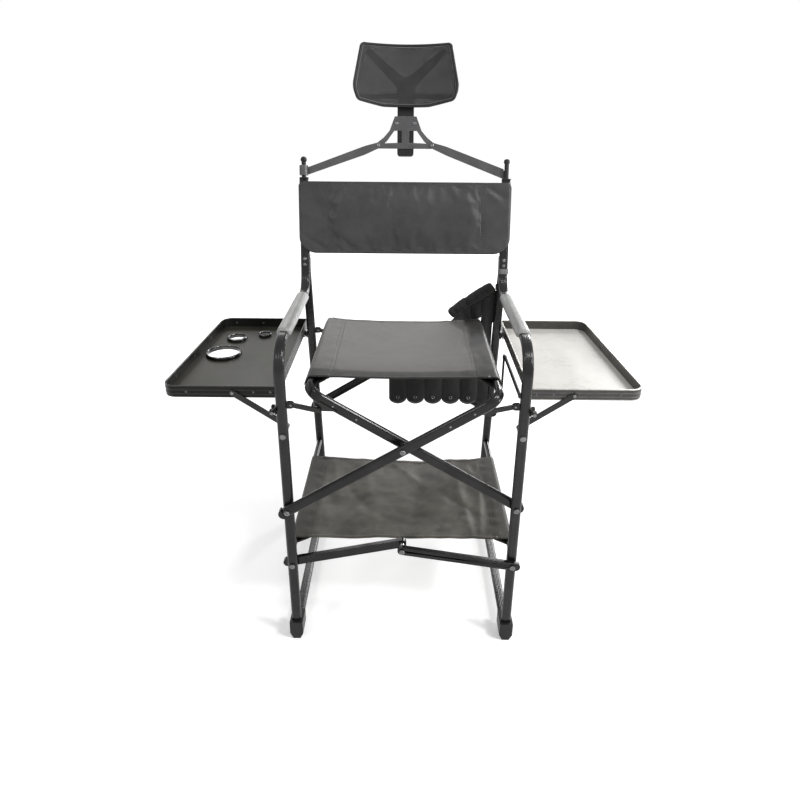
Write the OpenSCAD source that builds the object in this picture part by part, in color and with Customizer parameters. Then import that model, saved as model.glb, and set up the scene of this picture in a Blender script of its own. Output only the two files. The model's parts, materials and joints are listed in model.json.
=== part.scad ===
// Tall folding director chair with two side trays, a lower shelf and a headrest.
// X runs across the seat, +Y points to the back of the chair, Z is up, and the floor is Z = 0.

/* [Side frames] */
// Width over the two side frames
frame_w = 570; // [540:1:600]
// Width of the flat-sided frame tube, across the chair
tube_w = 25; // [22:0.5:27]
// Thickness of the frame tube, in the plane of the side frame
tube_t = 15; // [13:0.5:17]
// Wall of every hollow tube
tube_wall = 1.6; // [1.2:0.1:2.2]
// Place of the front legs, measured from the middle of the base
front_leg_y = -281; // [-300:1:-265]
// Place where the rear legs' line meets the floor runners
rear_foot_y = 310.3; // [290:0.1:325]
// Height of the middle of the floor runners
runner_h = 30; // [27:1:36]
// Backward slope of the rear legs, in degrees
rear_lean = 9.3; // [8:0.1:10.5]
// Height of the middle of the arm tube
arm_h = 815; // [795:1:835]
// Place where the back post's line crosses the arm's height
post_y = 145; // [135:1:155]
// Backward lean of the back posts, in degrees
post_lean = 12.8; // [11.5:0.1:14]
// Length of the back posts above the arm, along their lean
post_len = 299; // [285:1:315]
// Radius of the bend at the front of the arm
front_bend_r = 70; // [55:1:80]
// Radius of the bend between arm and back post
post_bend_r = 60; // [50:1:70]
// Radius of the bend at the rear end of the floor runners
runner_bend_r = 60; // [45:1:75]

/* [Scissor tubes] */
// Height of the four lower pivots
pivot_h = 401; // [390:1:410]
// Distance from the middle to each seat rail
rail_x = 216; // [205:1:222]
// Height of the seat rails
rail_h = 703; // [690:1:715]
// Height of the scissor tube's section
bar_h = 26; // [22:0.5:28]
// Thickness of the scissor tube's section
bar_t = 15; // [13:0.5:16]
// Radius of the bends between a seat rail and its diagonals
bar_bend_r = 36; // [32:1:40]
// Length of tube beyond a lower pivot
bar_tail = 10; // [9:1:16]
// Gap left between pieces that turn past each other
turn_gap = 0.5; // [0.3:0.1:0.8]

/* [Stays and brace] */
// Height of the short stays' pivots on the legs
stay_h = 676; // [668:1:682]
// Length of a short stay between its two pivots
stay_len = 62; // [56:1:66]
// Downward slope of the short stays in the open chair, in degrees
stay_drop = 13; // [9:1:16]
// Height of the folding brace's pivot on the left leg
brace_h = 230; // [222:1:234]
// How much higher the brace's right pivot sits
brace_step = 13; // [0:1:16]
// Height of the brace's middle joint in the open chair
brace_mid_h = 288; // [280:1:296]
// Height of the brace bar's section
brace_bar_h = 22; // [18:1:23]
// Thickness of the brace bar
brace_bar_t = 12; // [9:0.5:13]

/* [Cloth] */
// Place of the front edge of the seat
seat_front_y = -219; // [-224:1:-205]
// Place of the rear edge of the seat
seat_rear_y = 194; // [180:1:195]
// Sag of the seat between its rails
seat_sag = 6; // [3:1:14]
// Thickness of the canvas
cloth_t = 2.4; // [2:0.1:3]
// Gap between the canvas and the tube inside its sleeve
cloth_gap = 0.4; // [0.3:0.1:0.8]
// Distance of the back canvas's lower edge above the arm, along the lean
back_low = 102; // [96:1:115]
// Height of the back canvas, along the lean
back_len = 190; // [175:1:198]
// Thickness of the back's padded middle
back_pad = 11; // [6:1:16]
// Height of the shelf tubes
shelf_h = 268; // [268:1:285]
// Radius of the shelf tubes
shelf_r = 8; // [7:0.5:8.5]
// Place of the shelf canvas's front edge
shelf_front_y = -236; // [-245:1:-225]
// Place of the shelf canvas's rear edge
shelf_rear_y = 155; // [130:1:180]

/* [Side trays] */
// Height of the tray floor's underside
tray_h = 669; // [664:1:675]
// Height of the tray's rim
tray_rim = 27; // [20:1:32]
// Thickness of the tray's floor
tray_floor = 2; // [1.5:0.1:3]
// Thickness of the tray's rim
tray_wall = 3; // [2:0.1:4]
// Place of the tray's front edge
tray_front_y = -233; // [-240:1:-225]
// Place of the tray's rear edge
tray_rear_y = 245; // [225:1:255]
// Distance from the middle of the chair to the tray's outer front corner
tray_out_front = 557; // [540:1:575]
// Distance from the middle of the chair to the tray's outer rear corner
tray_out_rear = 538; // [520:1:555]
// Radius of the tray's outer corners
tray_corner_r = 30; // [20:1:45]
// Diameters of the three holder rings, outside
ring_d = [94, 56, 38];

/* [Headrest] */
// Radius of the pins on the back posts
pin_r = 6; // [5:0.5:6.5]
// Thickness of the yoke's plates
yoke_t = 3; // [2.5:0.1:4]
// Width of the neck post
neck_w = 44; // [38:1:48]
// Thickness of the neck post
neck_t = 14; // [12:1:16]
// Distance of the neck post's lower end above the back posts, along the lean
neck_low_up = 63; // [56:1:71]
// Distance of the headrest's hinge above the back posts, along the lean
tilt_up = 229; // [223:1:235]
// Radius of the headrest panel's curve
head_r = 330; // [300:5:400]
// Thickness of the headrest's rim
head_rim_t = 8; // [6:0.5:10]
// Width of the headrest's rim, seen from the front
head_rim_w = 7; // [5:0.5:9]

/* [Hidden] */
$fn = 64;
FIT = 0.05;
SEAT_FIT = 0.1;
BEND_PLUS = 0.06;
BEND_LAP = 0.3;

pivot_x = frame_w / 2 - tube_w / 2;
inner_x = frame_w / 2 - tube_w;
outer_x = frame_w / 2;
bolt_r = 4;
stud_r = 4;
rivet_r = 2.5;
head_bolt_r = 7;
head_bolt_h = 3;
head_rivet_r = 4.5;
head_rivet_h = 1.6;

// Side frame
function rear_leg_y(z) = rear_foot_y - tan(rear_lean) * (z - runner_h);
// Half of the room that a bar needs beside the leaning rear leg while it turns
rear_half = tube_t / 2 / cos(rear_lean) + 24 * tan(rear_lean);
foot_top = 52;
leg_start = 40;
arm_start_y = front_leg_y + front_bend_r;
post_bend_turn = 90 - post_lean;
// The post's line meets the arm's line at post_y; the bend starts this far in front of it
post_tangent = post_bend_r * tan(post_bend_turn / 2);
arm_end_y = post_y - post_tangent;
runner_start_y = front_leg_y + 12;
rear_turn = 90 + rear_lean;
rear_tangent = runner_bend_r * tan(rear_turn / 2);
// The rear leg turns parallel to the post, behind it, where their lines meet
post_back = tube_t + 0.1;
knee_r = 48;
knee_turn = rear_lean + post_lean;
knee_z = (rear_foot_y + tan(rear_lean) * runner_h - post_y - post_back / cos(post_lean)
    + tan(post_lean) * arm_h) / (tan(rear_lean) + tan(post_lean));
knee_tangent = knee_r * tan(knee_turn / 2);
rear_leg_len = (knee_z - runner_h) / cos(rear_lean);
rear_top_s = 94;
knee_s = (knee_z - arm_h) / cos(post_lean);
post_rivet_s = [71, 86];

// Scissor
scissor_a = atan((rail_h - pivot_h) / (pivot_x + rail_x));
cross_h = pivot_h + pivot_x * tan(scissor_a);
lower_len = pivot_x / cos(scissor_a);
upper_len = rail_x / cos(scissor_a);
front_a_y = front_leg_y - tube_t / 2 - turn_gap - bar_t / 2;
front_b_y = front_leg_y + tube_t / 2 + turn_gap + bar_t / 2;
rear_pivot_y = rear_leg_y(pivot_h);
rear_a_y = rear_pivot_y + rear_half + turn_gap + bar_t / 2;
rear_b_y = rear_pivot_y - rear_half - turn_gap - bar_t / 2;
bush_r = 8;
// Half of the rear leg's depth at the edge of a bush
rear_skin = tube_t / 2 / cos(rear_lean) + bush_r * tan(rear_lean);

// Stays
stay_pivot_x = inner_x - 9;
stay_t = 5;
stay_w = 11;
stay_end_x = stay_pivot_x - stay_len * cos(stay_drop);
stay_end_h = stay_h - stay_len * sin(stay_drop);
rear_stay_y = rear_leg_y(stay_h);
gusset_t = 3;
stay_pin_r = 2.5;
lug_h = 16;
lug_t = stay_t + 4.6;

// Brace
brace_left_y = front_leg_y + tube_t / 2 + turn_gap + brace_bar_t / 2;
brace_right_y = front_leg_y - tube_t / 2 - turn_gap - brace_bar_t / 2;
function brace_pivot_h(side) = brace_h + (side > 0 ? brace_step : 0);
brace_tail = [15, 9];

// Trays
hinge_x = outer_x + 7;
hinge_h = tray_h - 7;
tray_in = outer_x + 4;
knuckle_r = 5;
hinge_pin_r = 3;
hinge_front_y = front_leg_y;
hinge_rear_y = rear_leg_y(hinge_h);
lug_len = 12;
knuckle_len = 9;
strut_t = 3;
strut_y = tray_front_y - 1 - strut_t / 2;
strut_top = [393, 682];
strut_low = [pivot_x, 598];
strut_w = 14;
strut_dir = strut_low - strut_top;
strut_angle = atan2(strut_dir[1], -strut_dir[0]);
ring_at = [[482, 23], [474, 136], [400, 166]];
ring_h = 9;
ring_wall = 3;

// Headrest, in the leaning frame of the back posts
cap_r = 8;
yoke_front = cap_r + 0.6;
yoke_s = post_len + 22;
neck_low = post_len + neck_low_up;
tilt_s = post_len + tilt_up;
pin_len = 44;

TUBE_COLOUR = [0.16, 0.16, 0.17];
BLACK = [0.07, 0.07, 0.07];
STEEL = [0.62, 0.62, 0.64];
PAD_COLOUR = [0.72, 0.73, 0.71];
CLOTH_COLOUR = [0.25, 0.24, 0.24];
SHELF_COLOUR = [0.22, 0.22, 0.19];
TRAY_COLOUR = [0.3, 0.3, 0.28];

// A flat-sided section with round edges, wide along X
module oval(w, t) {
    square([w - t, t], center = true);
    for (side = [-1, 1]) translate([side * (w - t) / 2, 0]) circle(d = t);
}

module hollow_oval(w, t) {
    difference() {
        oval(w, t);
        oval(w - 2 * tube_wall, t - 2 * tube_wall);
    }
}

// One bend of a tube that runs up +Z and turns towards +Y. It is a hair larger than the straights,
// which run a little way into it, so that no two surfaces coincide.
module tube_bend(w, t, turn, r) {
    translate([0, r, 0]) rotate([90, 0, -90]) rotate_extrude(angle = turn)
        translate([r, 0]) rotate(90) hollow_oval(w + BEND_PLUS, t + BEND_PLUS);
}

// A tube from a list of steps, each [straight length, turn towards +Y in degrees, bend radius]
module bent_tube(w, t, steps, i = 0) {
    if (i < len(steps)) {
        run = steps[i][0];
        turn = steps[i][1];
        r = steps[i][2];
        side = turn < 0 ? -1 : 1;
        into_last = i > 0 ? BEND_LAP : 0;
        into_next = turn != 0 ? BEND_LAP : 0;
        translate([0, 0, -into_last]) linear_extrude(run + into_last + into_next)
            hollow_oval(w, t);
        translate([0, 0, run]) {
            if (turn != 0) mirror([0, turn < 0 ? 1 : 0, 0]) tube_bend(w, t, abs(turn), r);
            translate([0, side * r * (1 - cos(turn)), r * sin(abs(turn))])
                rotate([-turn, 0, 0]) bent_tube(w, t, steps, i + 1);
        }
    }
}

// A cylinder along +Y
module rod_y(r, len) {
    rotate([-90, 0, 0]) cylinder(r = r, h = len);
}

// A cylinder along +X
module rod_x(r, len) {
    rotate([0, 90, 0]) cylinder(r = r, h = len);
}

// A bolt along +Y from y = 0 to y = len, with a head beyond each end
module bolt_y(r, len, head_r, head_h) {
    translate([0, -head_h, 0]) rod_y(head_r, head_h);
    rod_y(r, len);
    translate([0, len, 0]) rod_y(head_r, head_h);
}

// The leaning frame of the back posts: its Z runs up the posts from the arm's height
module lean() {
    translate([0, post_y, arm_h]) rotate([-post_lean, 0, 0]) children();
}

// A flat bar in the XZ plane with round ends, between two points
module flat_bar(a, b, w, t) {
    d = b - a;
    translate([a[0], 0, a[1]]) rotate([0, -atan2(d[1], d[0]), 0]) rotate([90, 0, 0])
        translate([0, 0, -t / 2]) linear_extrude(t) {
            translate([0, -w / 2]) square([norm(d), w]);
            circle(d = w);
            translate([norm(d), 0]) circle(d = w);
        }
}

// Side frame: front leg, arm and back post in one tube
module front_tube(side) {
    color(TUBE_COLOUR) difference() {
        translate([side * pivot_x, front_leg_y, leg_start]) bent_tube(tube_w, tube_t, [
            [arm_h - front_bend_r - leg_start, 90, front_bend_r],
            [arm_end_y - arm_start_y, -post_bend_turn, post_bend_r],
            [post_len - post_tangent, 0, 0]
        ]);
        for (z = [pivot_h, brace_pivot_h(side), strut_low[1]])
            translate([side * pivot_x, front_leg_y - tube_t, z]) rod_y(bolt_r + FIT, 2 * tube_t);
        lean() for (s = post_rivet_s)
            translate([side * pivot_x, -tube_t, s]) rod_y(rivet_r + FIT, 2 * tube_t);
    }
}

// Side frame: floor runner and rear leg in one tube
module rear_tube(side) {
    color(TUBE_COLOUR) difference() {
        translate([side * pivot_x, runner_start_y, runner_h]) rotate([-90, 0, 0])
            mirror([0, 1, 0]) bent_tube(tube_w, tube_t, [
                [rear_foot_y - rear_tangent - runner_start_y, rear_turn, runner_bend_r],
                [rear_leg_len - rear_tangent - knee_tangent, -knee_turn, knee_r],
                [rear_top_s - knee_s - knee_tangent, 0, 0]
            ]);
        translate([side * pivot_x, rear_pivot_y - 2 * tube_t, pivot_h])
            rod_y(bolt_r + FIT, 4 * tube_t);
        lean() for (s = post_rivet_s)
            translate([side * pivot_x, 0, s]) rod_y(rivet_r + FIT, 2 * tube_t);
    }
}

// Moulded foot under a tube: narrow where it meets the floor
module foot_block(len, h) {
    rotate([90, 0, 0]) translate([0, 0, -len]) linear_extrude(len)
        polygon([[-9, 0], [9, 0], [17, 16], [17, h], [-17, h], [-17, 16]]);
}

module foot_front(side) {
    color(BLACK) translate([side * pivot_x, front_leg_y - 15, 0]) difference() {
        foot_block(50, foot_top);
        translate([0, 15, leg_start - SEAT_FIT]) linear_extrude(foot_top)
            oval(tube_w + 2 * SEAT_FIT, tube_t + 2 * SEAT_FIT);
        translate([0, 27 - SEAT_FIT, runner_h]) rotate([-90, 0, 0]) linear_extrude(foot_top)
            oval(tube_w + 2 * SEAT_FIT, tube_t + 2 * SEAT_FIT);
    }
}

module foot_rear(side) {
    foot_y = rear_foot_y - rear_tangent - 62;
    color(BLACK) translate([side * pivot_x, foot_y, 0]) difference() {
        foot_block(60, runner_h + 2);
        translate([0, -1, runner_h]) rotate([-90, 0, 0]) linear_extrude(70)
            oval(tube_w + 2 * SEAT_FIT, tube_t + 2 * SEAT_FIT);
    }
}

// Half-round pad over the straight part of the arm
module arm_pad(side) {
    pad_w = 34;
    pad_len = arm_end_y - arm_start_y - 20;
    color(PAD_COLOUR) translate([side * pivot_x, arm_start_y + 8, arm_h]) rotate([-90, 0, 0])
        linear_extrude(pad_len) difference() {
            union() {
                translate([0, 2]) intersection() {
                    circle(d = pad_w);
                    translate([-pad_w, -pad_w]) square([2 * pad_w, pad_w]);
                }
                translate([-pad_w / 2, 0]) square([pad_w, 5]);
            }
            oval(tube_w + 2 * SEAT_FIT, tube_t + 2 * SEAT_FIT);
            translate([-(tube_w - tube_t) / 2, 0]) square([tube_w - tube_t, tube_t]);
        }
}

module shelf_tube(side) {
    front = front_leg_y + tube_t / 2 + SEAT_FIT;
    rear = rear_leg_y(shelf_h + shelf_r) - tube_t / 2 / cos(rear_lean) - SEAT_FIT;
    color(TUBE_COLOUR) translate([side * pivot_x, front, shelf_h]) difference() {
        rod_y(shelf_r, rear - front);
        translate([0, -1, 0]) rod_y(shelf_r - tube_wall, rear - front + 2);
    }
}

// Pin on a back post: a plug in the tube, a shaft and a round knob or a flat cap
module post_pin(side) {
    color(BLACK) lean() translate([side * pivot_x, 0, post_len]) {
        translate([0, 0, -18]) linear_extrude(18)
            oval(tube_w - 2 * tube_wall - 0.2, tube_t - 2 * tube_wall - 0.2);
        linear_extrude(4) oval(tube_w, tube_t);
        cylinder(r = pin_r, h = pin_len);
        if (side < 0) translate([0, 0, pin_len + 6]) sphere(r = 8.5);
        if (side < 0) translate([0, 0, pin_len]) cylinder(r = 4, h = 4);
        if (side > 0) translate([0, 0, pin_len]) cylinder(r = cap_r, h = 8);
        if (side > 0) translate([0, 0, pin_len + 8]) cylinder(r1 = cap_r, r2 = 5, h = 3);
    }
}

// Bolts through one side frame: lower pivots, brace pivot and the stud that carries the strut
module side_bolts(side) {
    leg_front = front_leg_y - tube_t / 2;
    leg_back = front_leg_y + tube_t / 2;
    reach_a = bar_t + turn_gap;
    reach_brace = brace_bar_t + turn_gap;
    play = 0.2;
    color(STEEL) translate([side * pivot_x, 0, 0]) {
        translate([0, side < 0 ? leg_front - reach_a - play : leg_front - play, pivot_h])
            bolt_y(bolt_r, tube_t + reach_a + 2 * play, head_bolt_r, head_bolt_h);
        translate([0, side < 0 ? rear_pivot_y - rear_skin - play
            : rear_b_y - bar_t / 2 - play, pivot_h])
            bolt_y(bolt_r, rear_skin + rear_half + reach_a + 2 * play, head_bolt_r, head_bolt_h);
        translate([0, side < 0 ? rear_pivot_y + rear_skin + play
            : rear_pivot_y - rear_half - turn_gap + play, pivot_h])
            rod_y(bush_r, rear_half + turn_gap - rear_skin - 2 * play);
        translate([0, side < 0 ? leg_front - play : leg_front - reach_brace - play,
            brace_pivot_h(side)])
            bolt_y(bolt_r, tube_t + reach_brace + 2 * play, head_bolt_r, head_bolt_h);
        translate([0, leg_front - play, strut_low[1]])
            rod_y(stud_r, strut_y - strut_t / 2 - 0.2 - leg_front + play);
        translate([0, leg_front - play - 2, strut_low[1]]) rod_y(head_bolt_r, 2);
        translate([0, leg_back + play, strut_low[1]])
            rod_y(head_bolt_r, strut_y - strut_t / 2 - 0.2 - leg_back - play);
    }
}

// Rivets that join the rear leg to the back post
module side_rivets(side) {
    span = post_back + tube_t;
    color(STEEL) lean() for (s = post_rivet_s)
        translate([side * pivot_x, -tube_t / 2 - 0.1, s])
            bolt_y(rivet_r, span + 0.2, head_rivet_r, head_rivet_h);
}

// A forked lug on the inner face of a leg that holds a stay's pin
module stay_lug(side, y) {
    reach = inner_x - stay_pivot_x;
    slot = stay_t + 0.6;
    mirror([side > 0 ? 1 : 0, 0, 0]) translate([-inner_x + 0.1, y - lug_t / 2, stay_h])
        difference() {
            union() {
                translate([0, 0, -lug_h / 2]) cube([reach, lug_t, lug_h]);
                translate([reach, 0, 0]) rod_y(lug_h / 2, lug_t);
            }
            translate([2, (lug_t - slot) / 2, -lug_h]) cube([reach + lug_h, slot, 2 * lug_h]);
            translate([reach - 0.1, -1, 0]) rod_y(stay_pin_r + FIT, lug_t + 2);
        }
}

// A lug on the outer face of a leg that holds a tray's hinge pin
module tray_lug(side, y) {
    mirror([side < 0 ? 1 : 0, 0, 0]) translate([outer_x + 0.1, y - lug_len / 2, hinge_h])
        difference() {
            union() {
                translate([0, 0, -10]) cube([3, lug_len, 18]);
                translate([0, 0, -knuckle_r]) cube([hinge_x - outer_x, lug_len, 2 * knuckle_r]);
                translate([hinge_x - outer_x - 0.1, 0, 0]) rod_y(knuckle_r, lug_len);
            }
            translate([hinge_x - outer_x - 0.1, -1, 0]) rod_y(hinge_pin_r + FIT, lug_len + 2);
        }
}

module side_brackets(side) {
    color(BLACK) {
        stay_lug(side, front_leg_y);
        if (side < 0) stay_lug(side, rear_stay_y);
        tray_lug(side, hinge_front_y);
        tray_lug(side, hinge_rear_y);
    }
}

// Stay pins and tray hinge pins of one side
module hinge_pins(side) {
    color(STEEL) for (y = [hinge_front_y, hinge_rear_y])
        translate([side * hinge_x, y - lug_len / 2 - knuckle_len - 0.6, hinge_h])
            bolt_y(hinge_pin_r, lug_len + 2 * knuckle_len + 1.2, hinge_pin_r + 1, 1.2);
    color(STEEL) for (y = side < 0 ? [front_leg_y, rear_stay_y] : [front_leg_y])
        translate([side * stay_pivot_x, y - lug_t / 2, stay_h]) rod_y(stay_pin_r, lug_t);
}

// Grey clip round the front of the right back post, above its bend
module post_collar() {
    color([0.45, 0.44, 0.44]) lean() translate([pivot_x, 0, post_tangent + 1])
        linear_extrude(14) difference() {
            oval(tube_w + 4, tube_t + 4);
            oval(tube_w + 2 * SEAT_FIT, tube_t + 2 * SEAT_FIT);
            translate([-tube_w, tube_t / 2 - 2]) square([2 * tube_w, tube_t]);
        }
}

// Places a child drawn along the diagonal from a lower pivot: Z up the diagonal, X square to it
module along_diagonal(side, y) {
    translate([-side * pivot_x, y, pivot_h]) rotate([0, side * (90 - scissor_a), 0]) children();
}

// One scissor tube: front diagonal, seat rail and rear diagonal; side is the side of its rail
module scissor_tube(side, front_y, rear_y) {
    reach = lower_len + upper_len - bar_bend_r + bar_tail;
    color(TUBE_COLOUR) along_diagonal(side, front_y) difference() {
        translate([0, 0, -bar_tail]) bent_tube(bar_h, bar_t, [
            [reach, 90, bar_bend_r],
            [rear_y - front_y - 2 * bar_bend_r, 90, bar_bend_r],
            [reach, 0, 0]
        ]);
        for (z = [0, lower_len]) translate([0, -bar_t, z])
            rod_y(bolt_r + FIT, rear_y - front_y + 2 * bar_t);
    }
}

// Plug in the lower end of a scissor tube, with a rounded end that covers it
module scissor_caps(side, front_y, rear_y) {
    plug = 4;
    color(BLACK) for (y = [front_y, rear_y]) along_diagonal(side, y) translate([0, 0, -bar_tail]) {
        linear_extrude(plug) oval(bar_h - 2 * tube_wall - 0.2, bar_t - 2 * tube_wall - 0.2);
        intersection() {
            translate([0, -bar_t / 2, 0]) rod_y(bar_h / 2, bar_t);
            translate([-bar_h, -bar_t, -bar_h]) cube([2 * bar_h, 2 * bar_t, bar_h]);
        }
    }
}

// Bolt and bush where the two scissor tubes cross, front and rear
module scissor_bolts() {
    play = 0.2;
    front_back = front_b_y + bar_t / 2;
    color(STEEL) translate([0, front_a_y - bar_t / 2 - play, cross_h]) {
        bolt_y(bolt_r, front_back - front_a_y + bar_t / 2 + 2 * play, head_bolt_r, head_bolt_h);
        translate([0, bar_t + play + 0.1, 0]) rod_y(bush_r, front_b_y - front_a_y - bar_t - 0.2);
    }
    color(STEEL) translate([0, rear_b_y - bar_t / 2 - play, cross_h]) {
        bolt_y(bolt_r, rear_a_y - rear_b_y + bar_t + 2 * play, head_bolt_r, head_bolt_h);
        translate([0, bar_t + play + 0.1, 0]) rod_y(bush_r, rear_a_y - rear_b_y - bar_t - 0.2);
    }
}

// Distances of a stay's far pivot along and square to the diagonal it belongs to
stay_run = pivot_x + stay_end_x;
stay_rise = stay_end_h - pivot_h;
stay_d = stay_run * cos(scissor_a) + stay_rise * sin(scissor_a);
stay_n = stay_run * sin(scissor_a) - stay_rise * cos(scissor_a);

// Tab on the flat of a scissor tube, below it, that carries the far end of a stay
module gusset(side, y) {
    edge = bar_h / 2;
    straight_end = lower_len + upper_len - bar_bend_r - 0.5;
    along_diagonal(side, y) scale([side, 1, 1]) rotate([90, 0, 0])
        translate([0, 0, -gusset_t / 2]) linear_extrude(gusset_t) difference() {
            union() {
                polygon([[stay_n + 8, stay_d], [edge - 8, straight_end], [edge - 9, straight_end],
                    [edge - 9, stay_d - 38], [stay_n, stay_d - 8]]);
                translate([stay_n, stay_d]) circle(r = 8);
            }
            translate([stay_n, stay_d]) circle(r = stay_pin_r + FIT);
        }
}

// Headed pin in a tab; it stands out towards the stay and stops short of it
module gusset_pin(side, y_tab, y_stay) {
    toward = y_stay > y_tab ? 1 : -1;
    len = abs(y_stay - y_tab) + gusset_t / 2 - stay_t / 2 - 1.2;
    translate([side * stay_end_x, y_tab - toward * gusset_t / 2, stay_end_h])
        mirror([0, toward < 0 ? 1 : 0, 0]) rod_y(stay_pin_r, len);
}

module gussets_right() {
    y = front_a_y + bar_t / 2 + gusset_t / 2 + 0.05;
    color(TUBE_COLOUR) gusset(1, y);
    color(STEEL) gusset_pin(1, y, front_leg_y);
}

module gussets_left() {
    front = front_b_y - bar_t / 2 - gusset_t / 2 - 0.05;
    rear = rear_b_y - bar_t / 2 - gusset_t / 2 - 0.05;
    color(TUBE_COLOUR) {
        gusset(-1, front);
        gusset(-1, rear);
    }
    color(STEEL) {
        gusset_pin(-1, front, front_leg_y);
        gusset_pin(-1, rear, rear_stay_y);
    }
}

// Short stay between a leg and a scissor tube
module stay(side, y) {
    color(TUBE_COLOUR) translate([0, y, 0]) difference() {
        flat_bar([side * stay_pivot_x, stay_h], [side * stay_end_x, stay_end_h], stay_w, stay_t);
        translate([side * stay_pivot_x, -stay_t, stay_h]) rod_y(stay_pin_r + FIT, 2 * stay_t);
    }
    color(STEEL) translate([side * stay_end_x, y - stay_t / 2 - 1, stay_end_h])
        difference() {
            rod_y(4, stay_t + 2);
            translate([0, 1, 0]) rod_y(5, stay_t);
        }
}

// Half of the folding brace
module brace(side) {
    y = side < 0 ? brace_left_y : brace_right_y;
    pivot = [side * pivot_x, brace_pivot_h(side)];
    tail = unit(pivot - [0, brace_mid_h]) * brace_tail[side < 0 ? 0 : 1];
    color(TUBE_COLOUR) translate([0, y, 0]) difference() {
        flat_bar(pivot + tail, [0, brace_mid_h], brace_bar_h, brace_bar_t);
        translate([pivot[0], -brace_bar_t, pivot[1]])
            rod_y(bolt_r + FIT, 2 * brace_bar_t);
        translate([0, -brace_bar_t, brace_mid_h]) rod_y(bolt_r + FIT, 2 * brace_bar_t);
    }
}

// Middle bolt of the brace: it turns with the left bar and ends at the right bar
module brace_bolt() {
    front = brace_right_y + brace_bar_t / 2 + 0.2;
    rear = brace_left_y + brace_bar_t / 2 + 0.2;
    color(STEEL) translate([0, front, brace_mid_h]) {
        rod_y(head_bolt_r, brace_left_y - brace_bar_t / 2 - 0.2 - front);
        rod_y(bolt_r, rear - front);
        translate([0, rear - front, 0]) rod_y(head_bolt_r, head_bolt_h);
    }
}

// Head of the middle bolt, in the right bar
module brace_bolt_head() {
    front = brace_right_y - brace_bar_t / 2 - 0.1;
    color(STEEL) translate([0, front, brace_mid_h]) {
        rod_y(bolt_r, brace_bar_t);
        translate([0, -head_bolt_h, 0]) rod_y(head_bolt_r, head_bolt_h);
    }
}

// Polygon points with each corner turned into an arc; corners are [x, y, radius]
function corner_arc(a, b, c, steps = 8) = let (
        p = [b[0], b[1]], u = unit([a[0], a[1]] - p), w = unit([c[0], c[1]] - p),
        half = acos(u * w) / 2, mid = p + unit(u + w) * b[2] / sin(half),
        from = unit(p + u * b[2] / tan(half) - mid), to = unit(p + w * b[2] / tan(half) - mid))
    [for (i = [0 : steps]) mid + b[2] * unit(from * (1 - i / steps) + to * i / steps)];
function rounded(corners) = [
    for (i = [0 : len(corners) - 1])
        each corner_arc(corners[(i + len(corners) - 1) % len(corners)], corners[i],
            corners[(i + 1) % len(corners)])
];

// Outline of a tray seen from above, drawn for the right side; inset moves its edge inwards
tray_slant = (tray_out_front - tray_out_rear) / (tray_rear_y - tray_front_y);
function tray_side_x(y, inset) =
    tray_out_front - tray_slant * (y - tray_front_y) - inset * sqrt(1 + tray_slant * tray_slant);
module tray_outline(inset) {
    front = tray_front_y + inset;
    rear = tray_rear_y - inset;
    polygon(rounded([
        [tray_in + inset, front, 8 - inset],
        [tray_side_x(front, inset), front, tray_corner_r - inset],
        [tray_side_x(rear, inset), rear, tray_corner_r - inset],
        [tray_in + inset, rear, 8 - inset]
    ]));
}

module tray_knuckles(y) {
    for (end = [-1, 1])
        translate([hinge_x, y + end * (lug_len / 2 + 0.3 + knuckle_len / 2) - knuckle_len / 2,
            hinge_h]) difference() {
            union() {
                rod_y(knuckle_r, knuckle_len);
                translate([-knuckle_r + 2, 0, 0]) cube([knuckle_r + 3, knuckle_len, 7]);
            }
            translate([0, -1, 0]) rod_y(hinge_pin_r + FIT, knuckle_len + 2);
        }
}

module tray(side) {
    color(TRAY_COLOUR) mirror([side < 0 ? 1 : 0, 0, 0]) difference() {
        union() {
            translate([0, 0, tray_h]) difference() {
                linear_extrude(tray_rim) tray_outline(0);
                translate([0, 0, tray_floor]) linear_extrude(tray_rim) tray_outline(tray_wall);
            }
            tray_knuckles(hinge_front_y);
            tray_knuckles(hinge_rear_y);
            // Boss that the strut turns on
            translate([strut_top[0], tray_front_y - 0.8, strut_top[1]]) rod_y(6, 4);
        }
        if (side < 0) for (i = [0 : 2]) translate([ring_at[i][0], ring_at[i][1], tray_h - 1])
            cylinder(r = ring_d[i] / 2 - ring_wall + SEAT_FIT, h = tray_floor + 2);
        translate([strut_top[0], tray_front_y - 5, strut_top[1]]) rod_y(rivet_r + FIT, 20);
    }
}

// Holder ring: a collar that stands on the tray's floor and lines its hole
module ring(i) {
    d = ring_d[i];
    color(STEEL) translate([-ring_at[i][0], ring_at[i][1], tray_h]) difference() {
        union() {
            translate([0, 0, -1]) cylinder(d = d - 2 * ring_wall, h = tray_floor + 1);
            translate([0, 0, tray_floor + 0.05]) cylinder(d = d, h = ring_h);
            translate([0, 0, tray_floor - 0.1]) cylinder(d = d - 2 * ring_wall, h = 1);
        }
        translate([0, 0, -2]) cylinder(d = d - 4 * ring_wall + 2, h = ring_h + tray_floor + 4);
    }
}

// Strut from the tray's front rim to the stud on the front leg
module strut(side) {
    color(TUBE_COLOUR) mirror([side < 0 ? 1 : 0, 0, 0]) translate([0, strut_y, 0])
        flat_bar(strut_top, strut_low, strut_w, strut_t);
    color(STEEL) mirror([side < 0 ? 1 : 0, 0, 0]) translate([0, strut_y - strut_t / 2, 0]) {
        translate([strut_top[0], strut_t, strut_top[1]]) rod_y(rivet_r, 5);
        translate([strut_top[0], -1.5, strut_top[1]]) rod_y(4.5, 1.5);
        translate([strut_low[0], strut_t, strut_low[1]]) rod_y(4.5, 1.5);
    }
}

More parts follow.
